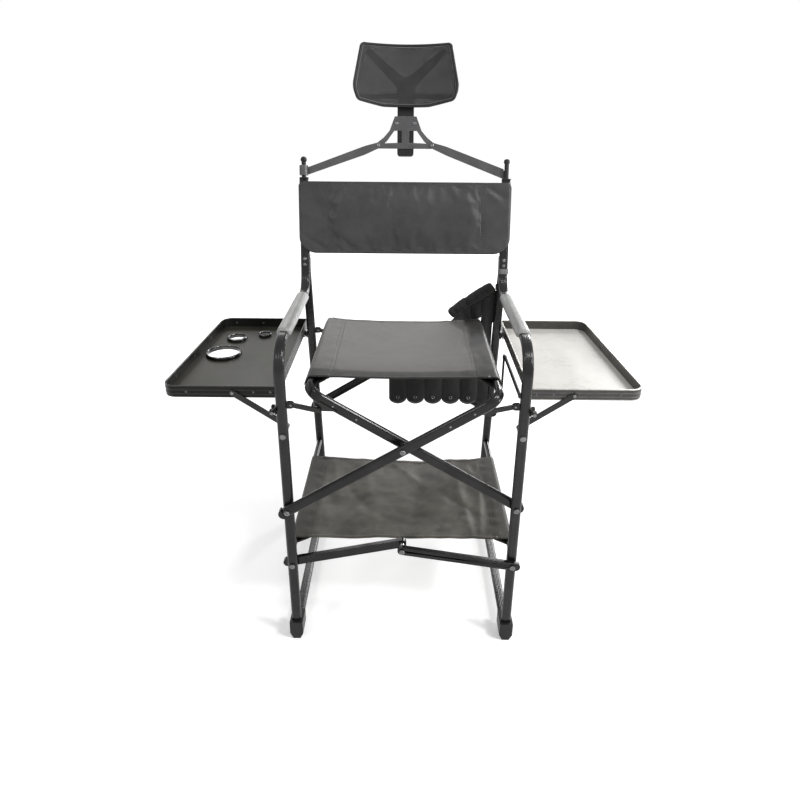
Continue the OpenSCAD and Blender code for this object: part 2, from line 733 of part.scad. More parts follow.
// Closed solid along a strip of cloth. The line is a list of points across the strip; at(p, v)
// places a point of the thickened line at station v from 0 to 1.
function unit(v) = v / max(norm(v), 0.000001);
function line_normal(line, i) =
    let (d = unit(line[min(i + 1, len(line) - 1)] - line[max(i - 1, 0)])) [-d[1], d[0]];
function thick_line(line, t) = [
    for (i = [0 : len(line) - 1]) line[i] + line_normal(line, i) * t / 2,
    for (i = [len(line) - 1 : -1 : 0]) line[i] - line_normal(line, i) * t / 2
];

module cloth_strip(line, t, stations, at) {
    outline = thick_line(line, t);
    n = len(outline);
    points = [for (j = [0 : stations]) for (p = outline) at(p, j / stations)];
    faces = [
        for (j = [0 : stations - 1]) for (i = [0 : n - 1])
            let (k = (i + 1) % n, b = j * n, c = (j + 1) * n)
                each [[b + i, c + i, b + k], [b + k, c + i, c + k]],
        for (i = [0 : n / 2 - 2]) let (o = n - 1 - i)
            each [[i, i + 1, o], [i + 1, o - 1, o]],
        for (i = [0 : n / 2 - 2]) let (o = n - 1 - i, b = stations * n)
            each [[b + i, b + o, b + i + 1], [b + i + 1, b + o, b + o - 1]]
    ];
    polyhedron(points, faces);
}

function arc(centre, r, from, to, steps) = [
    for (i = [0 : steps]) let (a = from + (to - from) * i / steps)
        centre + r * [cos(a), sin(a)]
];
function mirror_line(line) = [for (i = [len(line) - 1 : -1 : 0]) [-line[i][0], line[i][1]]];
// 1 in the middle, falling to 0 at x = edge; a higher power makes a flatter middle
function dome(x, edge, power) = max(0, 1 - pow(abs(x) / edge, power));

// Seat: a sling with a sleeve round each seat rail
sleeve_r = bar_t / 2 + cloth_gap + cloth_t / 2;
rail_focus = (bar_h - bar_t) / 2 * [sin(scissor_a), cos(scissor_a)];
seat_top_h = rail_h + rail_focus[1] + sleeve_r;
seat_edge_x = rail_x - rail_focus[0];
seat_seam_x = 172;
function seat_h(x) = seat_top_h - seat_sag * dome(x, seat_edge_x, 2);
seat_wrap = concat(
    [[-seat_seam_x, seat_h(seat_seam_x) - cloth_t - 0.4]],
    arc([-rail_x, rail_h] - rail_focus, sleeve_r, -65, -180 - scissor_a, 7),
    arc([-rail_x, rail_h] + rail_focus, sleeve_r, 180 - scissor_a, 92, 3)
);
seat_line = concat(
    seat_wrap,
    [for (i = [-7 : 7]) [i * 28, seat_h(i * 28)]],
    mirror_line(seat_wrap)
);
module seat_canvas() {
    bow = 7;
    color(CLOTH_COLOUR) cloth_strip(seat_line, cloth_t, 9, function(p, v)
        let (b = bow * dome(p[0], seat_edge_x, 4))
            [p[0], seat_front_y + b + v * (seat_rear_y - seat_front_y - 2 * b),
                p[1] - 5 * sin(180 * v) * dome(p[0], seat_edge_x, 2)]);
}

// Back: a padded panel with a sleeve round each back post, drawn in the leaning frame
post_focus = (tube_w - tube_t) / 2;
post_sleeve_r = tube_t / 2 + cloth_gap + cloth_t / 2;
back_seam_x = 209;
back_wrap = concat(
    [[-back_seam_x - 16, -post_sleeve_r + cloth_t + 0.4]],
    arc([-pivot_x + post_focus, 0], post_sleeve_r, 45, 90, 2),
    arc([-pivot_x - post_focus, 0], post_sleeve_r, 90, 270, 8)
);
back_mid = [for (x = [0, 60, 120, 165, 192, 203, 209, 222, 240, 258]) [x, -post_sleeve_r]];
back_line = concat(
    back_wrap,
    [for (i = [len(back_mid) - 1 : -1 : 1]) [-back_mid[i][0], back_mid[i][1]]],
    back_mid,
    mirror_line(back_wrap)
);
function corner_cut(x, r) =
    let (d = max(0, abs(x) - (outer_x + 2 - r))) r - sqrt(max(0, r * r - d * d));
// Rise of the padding: full over the middle and pulled down to the seams round it
function pad_rise(x, v) =
    back_pad / 2 * sqrt(dome(x, back_seam_x, 8)) * sqrt(dome(2 * v - 1, 1.001, 8));
module back_canvas() {
    color(CLOTH_COLOUR) lean() cloth_strip(back_line, cloth_t, 12, function(p, v)
        let (x = p[0], low = corner_cut(x, 48), top = corner_cut(x, 16),
            flat = abs(x) < back_seam_x + 1, front = p[1] < -post_sleeve_r,
            rise = flat ? pad_rise(x, v) * (front ? -1.3 : 0.7) : 0)
            [x, p[1] + rise, back_low + low + (1 - v) * (back_len - low - top)]);
}

// Shelf: a loose sling between the two shelf tubes
shelf_sleeve_r = shelf_r + cloth_gap + cloth_t / 2;
shelf_sag = 9;
function shelf_line_h(x) = shelf_h + shelf_sleeve_r - shelf_sag * dome(x, pivot_x, 2);
shelf_wrap = concat(
    [[-236, shelf_line_h(236) - cloth_t - 0.4]],
    arc([-pivot_x, shelf_h], shelf_sleeve_r, -65, -268, 9)
);
shelf_line = concat(
    shelf_wrap,
    [for (i = [-10 : 10]) [i * 25, shelf_line_h(i * 25)]],
    mirror_line(shelf_wrap)
);
function shelf_fold(x, v) = dome(x, pivot_x - 24, 2) * (2.6 * sin(x * 2.1 + 150 * v)
    + 2.2 * sin(x * 1.3 - 260 * v + 40) - 5 * sin(180 * v));
module shelf_canvas() {
    bow = 10;
    color(SHELF_COLOUR) cloth_strip(shelf_line, cloth_t, 11, function(p, v)
        let (b = bow * dome(p[0], pivot_x, 2))
            [p[0], shelf_front_y + b + v * (shelf_rear_y - shelf_front_y - 2 * b),
                p[1] + shelf_fold(p[0], v)]);
}

// Pouch behind the seat: a hanging row of pockets under a padded roll
pouch_y = 208;
pouch_left = pivot_x - 316.5;
pouch_pocket = 54;
pouch_low = 434;
// Its upper edge follows the roll, then steps down beside the seat rail
function pouch_top(x) = x > pivot_x - 82.4 ? 676
    : max(698, roll_h(x) - 14 * sqrt(1 + pow(roll_rise(x), 2)) - 0.5);
function pouch_bulge(x) = abs(sin(180 * (x - pouch_left) / pouch_pocket));
module pouch_body() {
    line = [for (i = [0 : 30]) [pouch_left + i * 9, 0]];
    color(BLACK) cloth_strip(line, 3, 9, function(p, v)
        let (b = pouch_bulge(p[0]), low = pouch_low + 18 * (1 - b), top = pouch_top(p[0]))
            [p[0], pouch_y + p[1] + (p[1] < 0 ? -4 : 3) * b * sin(min(180 * v, 160)),
                low + (1 - v) * (top - low)]);
}

// Soft roll: an oval section along a path of points [x, y, z, scale]
module soft_roll(path, ry, rz, sides) {
    n = len(path);
    points = [for (i = [0 : n - 1]) let (
            a = path[max(i - 1, 0)], b = path[min(i + 1, n - 1)],
            d = unit([b[0] - a[0], b[2] - a[2]]), f = path[i][3])
        for (k = [0 : sides - 1]) let (q = 360 * k / sides)
            [path[i][0] - d[1] * rz * f * cos(q), path[i][1] + ry * f * sin(q),
                path[i][2] + d[0] * rz * f * cos(q)]];
    faces = [
        [for (k = [0 : sides - 1]) k],
        for (i = [0 : n - 2]) for (k = [0 : sides - 1])
            let (m = (k + 1) % sides, b = i * sides, c = (i + 1) * sides)
                each [[b + k, c + k, b + m], [b + m, c + k, c + m]],
        [for (k = [sides - 1 : -1 : 0]) (n - 1) * sides + k]
    ];
    polyhedron(points, faces);
}
function roll_h(x) = let (t = x - pivot_x + 142.5) 729 + 0.72 * t - 10 * exp(-t / 30);
function roll_rise(x) = 0.72 + exp(-(x - pivot_x + 142.5) / 30) / 3;
// The roll comes forward to the leg that carries it
function roll_y(x) = let (t = x - pivot_x + 102.5) pouch_y + 1 - (t < 0 ? 0 : 21 * pow(t / 84, 1.5));
module pouch_roll() {
    stops = [for (d = [137.5, 134.5, 127.5, 118, 108, 97.5, 85, 72.5, 60, 47.5,
        28.5, 21.5, 18.5]) pivot_x - d];
    color(BLACK) soft_roll([for (i = [0 : len(stops) - 1]) let (
            e = min(i, len(stops) - 1 - i), x = stops[i])
        [x, roll_y(x), roll_h(x), e == 0 ? 0.45 : e == 1 ? 0.8 : 1]],
        10, 14, 14);
}

// Strap that holds the roll to the right rear leg
module pouch_strap() {
    z = roll_h(pivot_x - 18.5);
    y = rear_leg_y(z);
    color(BLACK) translate([pivot_x, y, z]) rotate([rear_lean, 0, 0])
        translate([0, 0, -7]) linear_extrude(14) difference() {
            union() {
                oval(tube_w + 5, tube_t + 5);
                translate([-14.3, 2]) square([14.3, tube_t / 2 + 2.5]);
            }
            oval(tube_w + 2 * SEAT_FIT, tube_t + 2 * SEAT_FIT);
        }
}

// Catch on the right frame: a flat arm fixed to the front leg and a hanging lever
catch_h = 703;
catch_y = -60;
catch_t = 3;
module bar_yz(a, b, w, t) {
    d = b - a;
    translate([0, a[0], a[1]]) rotate([atan2(d[1], d[0]), 0, 0]) rotate([0, -90, 0])
        translate([0, 0, -t / 2]) linear_extrude(t) {
            translate([-w / 2, 0]) square([w, norm(d)]);
            circle(d = w);
            translate([0, norm(d)]) circle(d = w);
        }
}
module catch_arm() {
    color(STEEL) translate([inner_x - catch_t / 2 - 0.05, 0, 0]) difference() {
        bar_yz([front_leg_y, catch_h], [catch_y, catch_h], 13, catch_t);
        translate([-catch_t, catch_y, catch_h]) rod_x(3 + FIT, 2 * catch_t);
    }
    color(STEEL) translate([inner_x - catch_t - 2, front_leg_y, catch_h]) rod_x(4.5, 1.9);
}
module catch_lever() {
    x = inner_x - 1.5 * catch_t - 0.4;
    color(STEEL) translate([x, 0, 0])
        bar_yz([catch_y, catch_h], [catch_y, catch_h - 113], 17, catch_t);
    color(STEEL) translate([x + catch_t / 2, catch_y, catch_h]) rod_x(3, catch_t + 1.4);
    color(STEEL) translate([x - catch_t / 2 - 1.6, catch_y, catch_h]) rod_x(5, 1.6);
    color(STEEL) translate([x + catch_t + 2.4, catch_y, catch_h]) rod_x(5, 1.4);
}

// Yoke: one arm turns on the left pin, the other rests behind the right pin
fork = [72, yoke_s + 68];
arm_end = [254, yoke_s];
module yoke_plate(h, y0) {
    translate([0, y0 + h, 0]) rotate([90, 0, 0]) linear_extrude(h) children();
}
module yoke_arm_shape(side, end_x) {
    slope = (fork[1] - arm_end[1]) / (arm_end[0] - fork[0]);
    end_s = fork[1] - slope * (end_x - fork[0]);
    difference() {
        union() {
            polygon([[side * end_x, max(end_s - 13, yoke_s - (side < 0 ? 13 : 20))],
                [side * end_x, end_s + 13],
                [side * 110, fork[1] - slope * 38 + 12], [side * fork[0], fork[1] + 8],
                [side * fork[0], fork[1] - 8], [side * 110, fork[1] - slope * 38 - 11]]);
            translate([side * fork[0], fork[1]]) circle(r = 8);
        }
        translate([side * fork[0], fork[1]]) circle(r = rivet_r + FIT);
    }
}
module yoke_arm_left() {
    barrel_r = 11.8;
    color(STEEL) lean() difference() {
        union() {
            yoke_plate(yoke_t, yoke_front) yoke_arm_shape(-1, pivot_x);
            translate([-pivot_x, 0, yoke_s - 13]) cylinder(r = barrel_r, h = 26);
        }
        translate([-pivot_x, 0, yoke_s - 40]) cylinder(r = pin_r + FIT, h = 80);
    }
}
module yoke_arm_right() {
    color(STEEL) lean() {
        yoke_plate(yoke_t, yoke_front) yoke_arm_shape(1, arm_end[0] + 12);
        // Bent lip at the free end
        translate([arm_end[0] + 12, yoke_front, yoke_s - 17.5]) cube([2.5, 9, 22]);
    }
}
module yoke_bracket() {
    y0 = yoke_front + yoke_t + 0.05;
    f = fork[1];
    loop_w = neck_w + 0.6;
    loop_t = neck_t + 0.6;
    color(STEEL) lean() {
        yoke_plate(yoke_t, y0) difference() {
            union() {
                polygon([[-29, f + 75], [29, f + 75], [43, f + 38], [-43, f + 38]]);
                for (side = [-1, 1]) {
                    polygon([[side * 30, f + 38], [side * 43, f + 38], [side * 58, f + 21],
                        [side * 76, f + 7], [side * 66, f - 3], [side * 50, f + 11]]);
                    translate([side * fork[0], fork[1]]) circle(r = 8);
                }
                translate([-10, f - 5]) square([20, 46]);
                polygon([[-70, f - 8], [70, f - 8], [72, f + 5], [24, f + 7], [-24, f + 7], [-72, f + 5]]);
            }
            for (side = [-1, 1]) translate([side * fork[0], fork[1]])
                circle(r = rivet_r + FIT);
        }
        // Guides that the neck post slides in
        for (s = [f - 5, f + 51]) translate([0, y0 + yoke_t, s]) difference() {
            translate([-loop_w / 2 - 2.5, 0, 0]) cube([loop_w + 5, loop_t + 2.5, 12]);
            translate([-loop_w / 2, -1, -1]) cube([loop_w, loop_t + 1, 14]);
        }
    }
}
module yoke_rivets() {
    color(STEEL) lean() {
        for (side = [-1, 1]) translate([side * fork[0], yoke_front - 0.1, fork[1]])
            bolt_y(rivet_r, 2 * yoke_t + 0.25, head_rivet_r, head_rivet_h);
        for (side = [-1, 1]) translate([side * 24, yoke_front + yoke_t - head_rivet_h, fork[1] + 57])
            rod_y(head_rivet_r, head_rivet_h);
    }
}

// Neck post with a knuckle on top
neck_back = yoke_front + 2 * yoke_t + 0.35 + neck_t / 2;
knuckle_w = 20;
module neck_post() {
    color(BLACK) lean() translate([0, neck_back, 0]) difference() {
        union() {
            translate([0, neck_t / 2, 0]) rotate([90, 0, 0]) linear_extrude(neck_t) {
                translate([-neck_w / 2, neck_low + 8]) square([neck_w, tilt_s - 10 - neck_low - 8]);
                translate([-neck_w / 2 + 8, neck_low]) square([neck_w - 16, 20]);
                for (side = [-1, 1]) translate([side * (neck_w / 2 - 8), neck_low + 8])
                    circle(r = 8);
                translate([-knuckle_w / 2, tilt_s - 12]) square([knuckle_w, 12]);
            }
            translate([-knuckle_w / 2, 0, tilt_s]) rod_x(neck_t / 2, knuckle_w);
        }
        translate([-neck_w, 0, tilt_s]) rod_x(4 + FIT, 2 * neck_w);
    }
}
module tilt_pin() {
    color(STEEL) lean() translate([0, neck_back, tilt_s]) {
        translate([-23.2, 0, 0]) rod_x(4, 46.4);
        for (side = [-1, 1]) translate([side < 0 ? -25.2 : 23.2, 0, 0]) rod_x(6, 2);
    }
}

// Headrest: a curved rim with a mesh in it, on a Y-shaped support
function head_corners(inset) = let (i = inset, t = tilt_s) [
    [118 - i, t + 112 - i, 12 - i / 2], [139 - i, t + 2, 60], [127 - i, t - 31 + i, 16 - i / 2],
    [60, t - 44 + i, 60], [-60, t - 44 + i, 60], [-127 + i, t - 31 + i, 16 - i / 2],
    [-139 + i, t + 2, 60], [-118 + i, t + 112 - i, 12 - i / 2]
];
module curved_layer(inner_r, outer_r) {
    lean() translate([0, -head_r, 0]) intersection() {
        translate([0, 0, 400]) difference() {
            cylinder(r = outer_r, h = 300, $fn = 128);
            translate([0, 0, -1]) cylinder(r = inner_r, h = 302, $fn = 128);
        }
        translate([0, head_r + 60, 0]) rotate([90, 0, 0]) linear_extrude(180) children();
    }
}
module head_frame() {
    color(BLACK) curved_layer(head_r - head_rim_t / 2, head_r + head_rim_t / 2) difference() {
        polygon(rounded(head_corners(0)));
        polygon(rounded(head_corners(head_rim_w)));
    }
}
module head_mesh() {
    color([0.3, 0.3, 0.3]) curved_layer(head_r - 0.8, head_r + 0.8)
        polygon(rounded(head_corners(head_rim_w + 0.05)));
}
module head_support() {
    back = head_r + head_rim_t / 2 + 0.05;
    color(BLACK) {
        curved_layer(back, back + 3.5) union() {
            translate([-23, tilt_s - 25]) square([46, 50]);
            for (side = [-1, 1]) {
                translate([0, tilt_s]) polygon([[side * 4, 12], [side * 23, 8], [side * 108, 90],
                    [side * 96, 102], [side * 8, 34], [0, 34], [0, 12]]);
                translate([0, tilt_s]) polygon([[side * 23, -20], [side * 23, -6],
                    [side * 128, -16], [side * 124, -28]]);
            }
        }
        lean() for (side = [-1, 1]) difference() {
            union() {
                translate([side < 0 ? -23 : knuckle_w / 2 + 0.3, neck_back, tilt_s])
                    rod_x(neck_t / 2, 23 - knuckle_w / 2 - 0.3);
                translate([side < 0 ? -23 : knuckle_w / 2 + 0.3, back + 1 - head_r, tilt_s - 7])
                    cube([23 - knuckle_w / 2 - 0.3, neck_back - (back + 1 - head_r), 14]);
            }
            translate([-30, neck_back, tilt_s]) rod_x(4 + FIT, 60);
        }
    }
}

front_tube(-1);  // left_front_tube
rear_tube(-1);  // left_rear_tube
foot_front(-1);  // left_foot_front
foot_rear(-1);  // left_foot_rear
arm_pad(-1);  // left_arm_pad
shelf_tube(-1);  // left_shelf_tube
post_pin(-1);  // left_pin
side_bolts(-1);  // left_bolts
side_rivets(-1);  // left_rivets
side_brackets(-1);  // left_brackets
hinge_pins(-1);  // left_hinge_pins
front_tube(1);  // right_front_tube
rear_tube(1);  // right_rear_tube
foot_front(1);  // right_foot_front
foot_rear(1);  // right_foot_rear
arm_pad(1);  // right_arm_pad
shelf_tube(1);  // right_shelf_tube
post_pin(1);  // right_pin
side_bolts(1);  // right_bolts
side_rivets(1);  // right_rivets
side_brackets(1);  // right_brackets
hinge_pins(1);  // right_hinge_pins
post_collar();  // right_post_collar
scissor_tube(1, front_a_y, rear_a_y);  // scissor_tube_a
scissor_tube(-1, front_b_y, rear_b_y);  // scissor_tube_b
scissor_caps(1, front_a_y, rear_a_y);  // scissor_caps_a
scissor_caps(-1, front_b_y, rear_b_y);  // scissor_caps_b
scissor_bolts();
gussets_right();
gussets_left();
stay(-1, front_leg_y);  // stay_front_left
stay(1, front_leg_y);  // stay_front_right
stay(-1, rear_stay_y);  // stay_rear_left
brace(-1);  // brace_left
brace(1);  // brace_right
brace_bolt();
brace_bolt_head();
tray(-1);  // tray_left
tray(1);  // tray_right
strut(-1);  // strut_left
strut(1);  // strut_right
ring(0);  // ring_large
for (i = [1, 2]) ring(i);  // rings_small
seat_canvas();
back_canvas();
shelf_canvas();
pouch_body();
pouch_roll();
pouch_strap();
catch_arm();
catch_lever();
yoke_arm_left();
yoke_arm_right();
yoke_bracket();
yoke_rivets();
neck_post();
tilt_pin();
head_support();
head_frame();
head_mesh();
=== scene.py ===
# %% [markdown]
# # A tall folding chair with trays, a shelf and a headrest
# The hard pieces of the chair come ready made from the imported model: tubes, bolts, stays, trays.
# This script loads them as a fixed frame and then dresses the chair. It gives every surface a
# finish, swaps the plain tubes for ribbed ones, and sews the cloth pieces in mesh code and with a
# short cloth simulation. All shapes are written in millimetres and scaled by MM at the last step,
# because a chair maker's drawing is in millimetres and Blender's scene is in metres.

# %% Load the frame
import json
import math

import bmesh
import bpy
from mathutils import Matrix, Vector, noise


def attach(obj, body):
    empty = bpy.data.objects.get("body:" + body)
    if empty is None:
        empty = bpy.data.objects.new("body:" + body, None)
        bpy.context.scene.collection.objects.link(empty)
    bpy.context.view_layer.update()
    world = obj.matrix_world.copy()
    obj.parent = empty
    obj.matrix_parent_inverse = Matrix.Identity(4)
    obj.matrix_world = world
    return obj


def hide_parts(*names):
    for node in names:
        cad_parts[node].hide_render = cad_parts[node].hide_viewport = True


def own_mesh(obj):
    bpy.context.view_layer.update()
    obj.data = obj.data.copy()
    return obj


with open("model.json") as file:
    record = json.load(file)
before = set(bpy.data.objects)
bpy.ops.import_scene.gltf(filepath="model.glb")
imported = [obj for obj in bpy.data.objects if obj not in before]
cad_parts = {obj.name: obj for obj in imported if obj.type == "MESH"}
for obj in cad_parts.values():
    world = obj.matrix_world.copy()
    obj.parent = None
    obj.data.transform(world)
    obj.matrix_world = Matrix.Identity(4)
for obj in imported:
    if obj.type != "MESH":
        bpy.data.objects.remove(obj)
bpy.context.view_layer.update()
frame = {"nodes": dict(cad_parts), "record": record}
nodes = frame["nodes"]

# %% [markdown]
# ## The chair's own measures
# A few lengths place everything else, as on the maker's drawing: where the legs, arms and posts
# run, where the scissor tubes pivot, and how far the back posts lean. The posts have a frame of
# their own, so that the back cloth and the headrest can be drawn upright and then leaned once.

# %% Measures in millimetres
MM = 0.001
LEG_X, LEG_Y, ARM_H = 272.5, -281.0, 815.0
POST_Y, POST_LEAN, POST_LEN = 145.0, math.radians(12.8), 299.0
REAR_FOOT_Y, RUNNER_H, REAR_LEAN = 310.3, 30.0, math.radians(9.3)
PIVOT_H, RAIL_X, RAIL_H = 401.0, 216.0, 703.0
TUBE_W, TUBE_T, BAR_H, BAR_T = 25.0, 15.0, 26.0, 15.0
SCISSOR = math.atan((RAIL_H - PIVOT_H) / (LEG_X + RAIL_X))
CROSS_H = PIVOT_H + LEG_X * math.tan(SCISSOR)
BAR_STEP = 15.5                           # from the middle of a leg to that of a scissor tube
BAR_A_Y, BAR_B_Y = LEG_Y - BAR_STEP, LEG_Y + BAR_STEP
CLOTH = 2.4


def lean(x, y, s):
    """A point of the leaning posts' frame: y to the back, s up the posts from the arm's height."""
    c, d = math.cos(POST_LEAN), math.sin(POST_LEAN)
    return Vector((x, POST_Y + y * c + s * d, ARM_H - y * d + s * c))


def rear_leg_y(z):
    """Where the rear legs' middle line is at a height."""
    return REAR_FOOT_Y - math.tan(REAR_LEAN) * (z - RUNNER_H)


REAR_CLEAR = 8.0
REAR_HALF = TUBE_T / 2 / math.cos(REAR_LEAN) + 24 * math.tan(REAR_LEAN)
REAR_A_Y = rear_leg_y(PIVOT_H) + REAR_HALF + REAR_CLEAR
REAR_B_Y = rear_leg_y(PIVOT_H) - REAR_HALF - REAR_CLEAR
print("scissor angle", round(math.degrees(SCISSOR), 2), "crossing at", round(CROSS_H, 1))

# %% [markdown]
# ## Camera
# The photograph was taken from standing height, a little above the headrest, looking down by 22
# degrees. Position, tilt and lens were fitted to measured points of the chair, and are written
# here as numbers. A camera looks along its own -Z, so its matrix is built from three directions:
# right, up and backwards.

# %% Camera
image_size, focal_px, centre_px, sensor_mm = 800, 631.294, (403.184, 354.761), 36
eye = Vector((0.000037, -1.54158, 1.318387))
pitch, yaw, roll = (math.radians(a) for a in (22.39, -0.043, 0.48))
forward = Vector((math.sin(yaw) * math.cos(pitch), math.cos(yaw) * math.cos(pitch), -math.sin(pitch)))
level = forward.cross(Vector((0, 0, 1))).normalized()
upward = level.cross(forward)
right = math.cos(roll) * level + math.sin(roll) * upward
upward = math.cos(roll) * upward - math.sin(roll) * level
lens = bpy.data.cameras.new("view_camera")
lens.sensor_width = sensor_mm
lens.lens = focal_px / image_size * sensor_mm
lens.shift_x = (image_size / 2 - centre_px[0]) / image_size
lens.shift_y = (centre_px[1] - image_size / 2) / image_size
camera = bpy.data.objects.new("view_camera", lens)
turn = Matrix((right, upward, -forward)).transposed().to_4x4()
camera.matrix_world = Matrix.Translation(eye) @ turn
bpy.context.scene.collection.objects.link(camera)
bpy.context.scene.camera = camera
print("lens", round(lens.lens, 2), "mm")

# %% [markdown]
# ## Mesh helpers
# Nearly every piece of this chair is a section carried along a line: tubes, pads, rims, cloth
# strips. So one helper skins a row of rings, one joins small repeated shapes, such as stitches,
# into a single shape, and one turns a shape into a Blender object that rides on a body of the
# frame. A shape is no more than a list of points in millimetres and a list of faces.

# %% Rings to meshes
def loft(rings, wrap=True, caps=True):
    """Quads between rings of equal count; wrap closes each ring, caps fills the two ends."""
    n = len(rings[0])
    points = [Vector(p) for ring in rings for p in ring]
    faces = [
        (j * n + i, j * n + (i + 1) % n, (j + 1) * n + (i + 1) % n, (j + 1) * n + i)
        for j in range(len(rings) - 1) for i in range(n if wrap else n - 1)
    ]
    if caps and wrap:
        last = (len(rings) - 1) * n
        faces += [tuple(range(n - 1, -1, -1)), tuple(last + i for i in range(n))]
    return points, faces


def closed_band(rings):
    """Rings whose row is closed too, such as a rim that runs all the way round."""
    points, faces = loft(rings, caps=False)
    n, last = len(rings[0]), (len(rings) - 1) * len(rings[0])
    faces += [(last + i, last + (i + 1) % n, (i + 1) % n, i) for i in range(n)]
    return points, faces


def together(shapes):
    """Several shapes as one, for stitches, heads and rivets."""
    points, faces = [], []
    for some_points, some_faces in shapes:
        start = len(points)
        points += some_points
        faces += [tuple(start + i for i in face) for face in some_faces]
    return points, faces


square = [(-1, -1, 0), (1, -1, 0), (1, 1, 0), (-1, 1, 0)]
print("two square rings make a box of", len(loft([square, square])[1]), "faces")

# %% Pieces that ride on the frame
def piece(name, shape, body, finish, slot):
    """A Blender object from points in millimetres, riding on a body of the frame."""
    mesh = bpy.data.meshes.new(name)
    mesh.from_pydata([Vector(p) * MM for p in shape[0]], [], shape[1])
    work = bmesh.new()
    work.from_mesh(mesh)
    bmesh.ops.recalc_face_normals(work, faces=work.faces)
    work.to_mesh(mesh)
    work.free()
    mesh.polygons.foreach_set("use_smooth", [True] * len(mesh.polygons))
    made = bpy.data.objects.new(name, mesh)
    bpy.context.scene.collection.objects.link(made)
    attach(made, body)
    mesh.materials.append(finish)
    return made


print("new pieces ride like the packed ones, and", len(nodes), "of those are here")

# %% [markdown]
# ## Material helpers
# A finish is a shader graph. These helpers keep each graph short. One adds a node and sets its
# inputs by name, one builds a shader node group with named inputs and outputs, and the small ones
# stand for the nodes that every graph here needs. A group only gives out masks and heights; the
# Principled shader itself stays in each material, where its single numbers can be read by any
# exporter. All patterns are drawn in a piece's own coordinates, so they move with it.

# %% Node helpers
def add(tree, kind, **settings):
    """A node with its properties and inputs set; a socket given as a value is linked."""
    new = tree.nodes.new(kind)
    for key, value in settings.items():
        if key[0].islower() and hasattr(new, key):
            setattr(new, key, value)
            continue
        socket = new.inputs[int(key[1:])] if key[0] == "_" else new.inputs[key.replace("_", " ")]
        if isinstance(value, bpy.types.NodeSocket):
            tree.links.new(value, socket)
        else:
            socket.default_value = value
    return new


def shader_group(name, inputs, outputs):
    """An empty group; inputs are {name: default}, outputs are names of number sockets."""
    tree = bpy.data.node_groups.new(name, "ShaderNodeTree")
    for key, value in inputs.items():
        kind = "NodeSocketVector" if isinstance(value, tuple) else "NodeSocketFloat"
        socket = tree.interface.new_socket(name=key, in_out="INPUT", socket_type=kind)
        socket.default_value = value
    for key in outputs:
        tree.interface.new_socket(name=key, in_out="OUTPUT", socket_type="NodeSocketFloat")
    source, result = tree.nodes.new("NodeGroupInput"), tree.nodes.new("NodeGroupOutput")
    return tree, source.outputs, result.inputs


def object_place(tree):
    """Where a point is in the piece's own coordinates."""
    return tree.nodes.new("ShaderNodeTexCoord").outputs["Object"]


def axes_of(tree, place):
    """The X, Y and Z of a place as three sockets."""
    return add(tree, "ShaderNodeSeparateXYZ", Vector=place).outputs


def math_node(tree, operation, a, b=0.0, clamp=False):
    """One sum or product; a and b are numbers or sockets."""
    return add(tree, "ShaderNodeMath", operation=operation, use_clamp=clamp, _0=a, _1=b).outputs[0]


def spread(tree, value, low, high, to_low=0.0, to_high=1.0):
    """Stretches the part of a value between low and high over a new range."""
    return add(tree, "ShaderNodeMapRange", Value=value, From_Min=low, From_Max=high,
               To_Min=to_low, To_Max=to_high).outputs[0]


def weighed(tree, a, b, part):
    """Part of one value and the rest of another."""
    return math_node(tree, "ADD", math_node(tree, "MULTIPLY", a, part),
                     math_node(tree, "MULTIPLY", b, 1 - part))


print("node helpers ready")

# %% [markdown]
# ## Four effects that the finishes share
# *Grain* is the cell pattern of leather, or with a small scale the pitting of foam and moulded
# plastic. *Weave* crosses two sets of threads. *Brushing* is a noise pulled long in one
# direction, for drawn and polished metal. *Wear* finds edges by comparing the surface's normal
# with that of a slightly rounded copy, and breaks them up with noise, because paint rubs off
# edges first and never evenly.

# %% Grain
tree, given, out = shader_group("grain", {"Scale": 700.0, "Softness": 0.5}, ["Height", "Shade"])
where = object_place(tree)
bend = add(tree, "ShaderNodeTexNoise", Vector=where, Scale=180.0, Detail=2.0)
moved = add(tree, "ShaderNodeMix", data_type="VECTOR", _0=0.0015, _4=where, _5=bend.outputs["Color"])
cells = add(tree, "ShaderNodeTexVoronoi", feature="DISTANCE_TO_EDGE", Vector=moved.outputs[1],
            Scale=given["Scale"])
pebble = spread(tree, cells.outputs["Distance"], 0.0, 0.22)
fine = add(tree, "ShaderNodeTexNoise", Vector=where, Scale=2600.0, Detail=3.0)
mixed = math_node(tree, "MULTIPLY", fine.outputs["Fac"], given["Softness"])
tree.links.new(math_node(tree, "ADD", pebble, mixed), out["Height"])
patch = add(tree, "ShaderNodeTexNoise", Vector=where, Scale=9.0, Detail=5.0, Roughness=0.65)
tree.links.new(patch.outputs["Fac"], out["Shade"])
GRAIN = tree
print("grain group:", len(tree.nodes), "nodes")

# %% Weave
tree, given, out = shader_group("weave", {"Pitch": 1100.0}, ["Height", "Shade"])
where = object_place(tree)
axes = axes_of(tree, where)
angle = math_node(tree, "MULTIPLY", given["Pitch"], 2 * math.pi)
along = math_node(tree, "ADD", axes[1], axes[2])
warp = math_node(tree, "SINE", math_node(tree, "MULTIPLY", axes[0], angle))
weft = math_node(tree, "SINE", math_node(tree, "MULTIPLY", along, angle))
crossed = math_node(tree, "MULTIPLY", warp, weft)
tree.links.new(spread(tree, crossed, -1.0, 1.0), out["Height"])
patch = add(tree, "ShaderNodeTexNoise", Vector=where, Scale=14.0, Detail=6.0, Roughness=0.7)
tree.links.new(patch.outputs["Fac"], out["Shade"])
WEAVE = tree
print("weave group:", len(tree.nodes), "nodes")

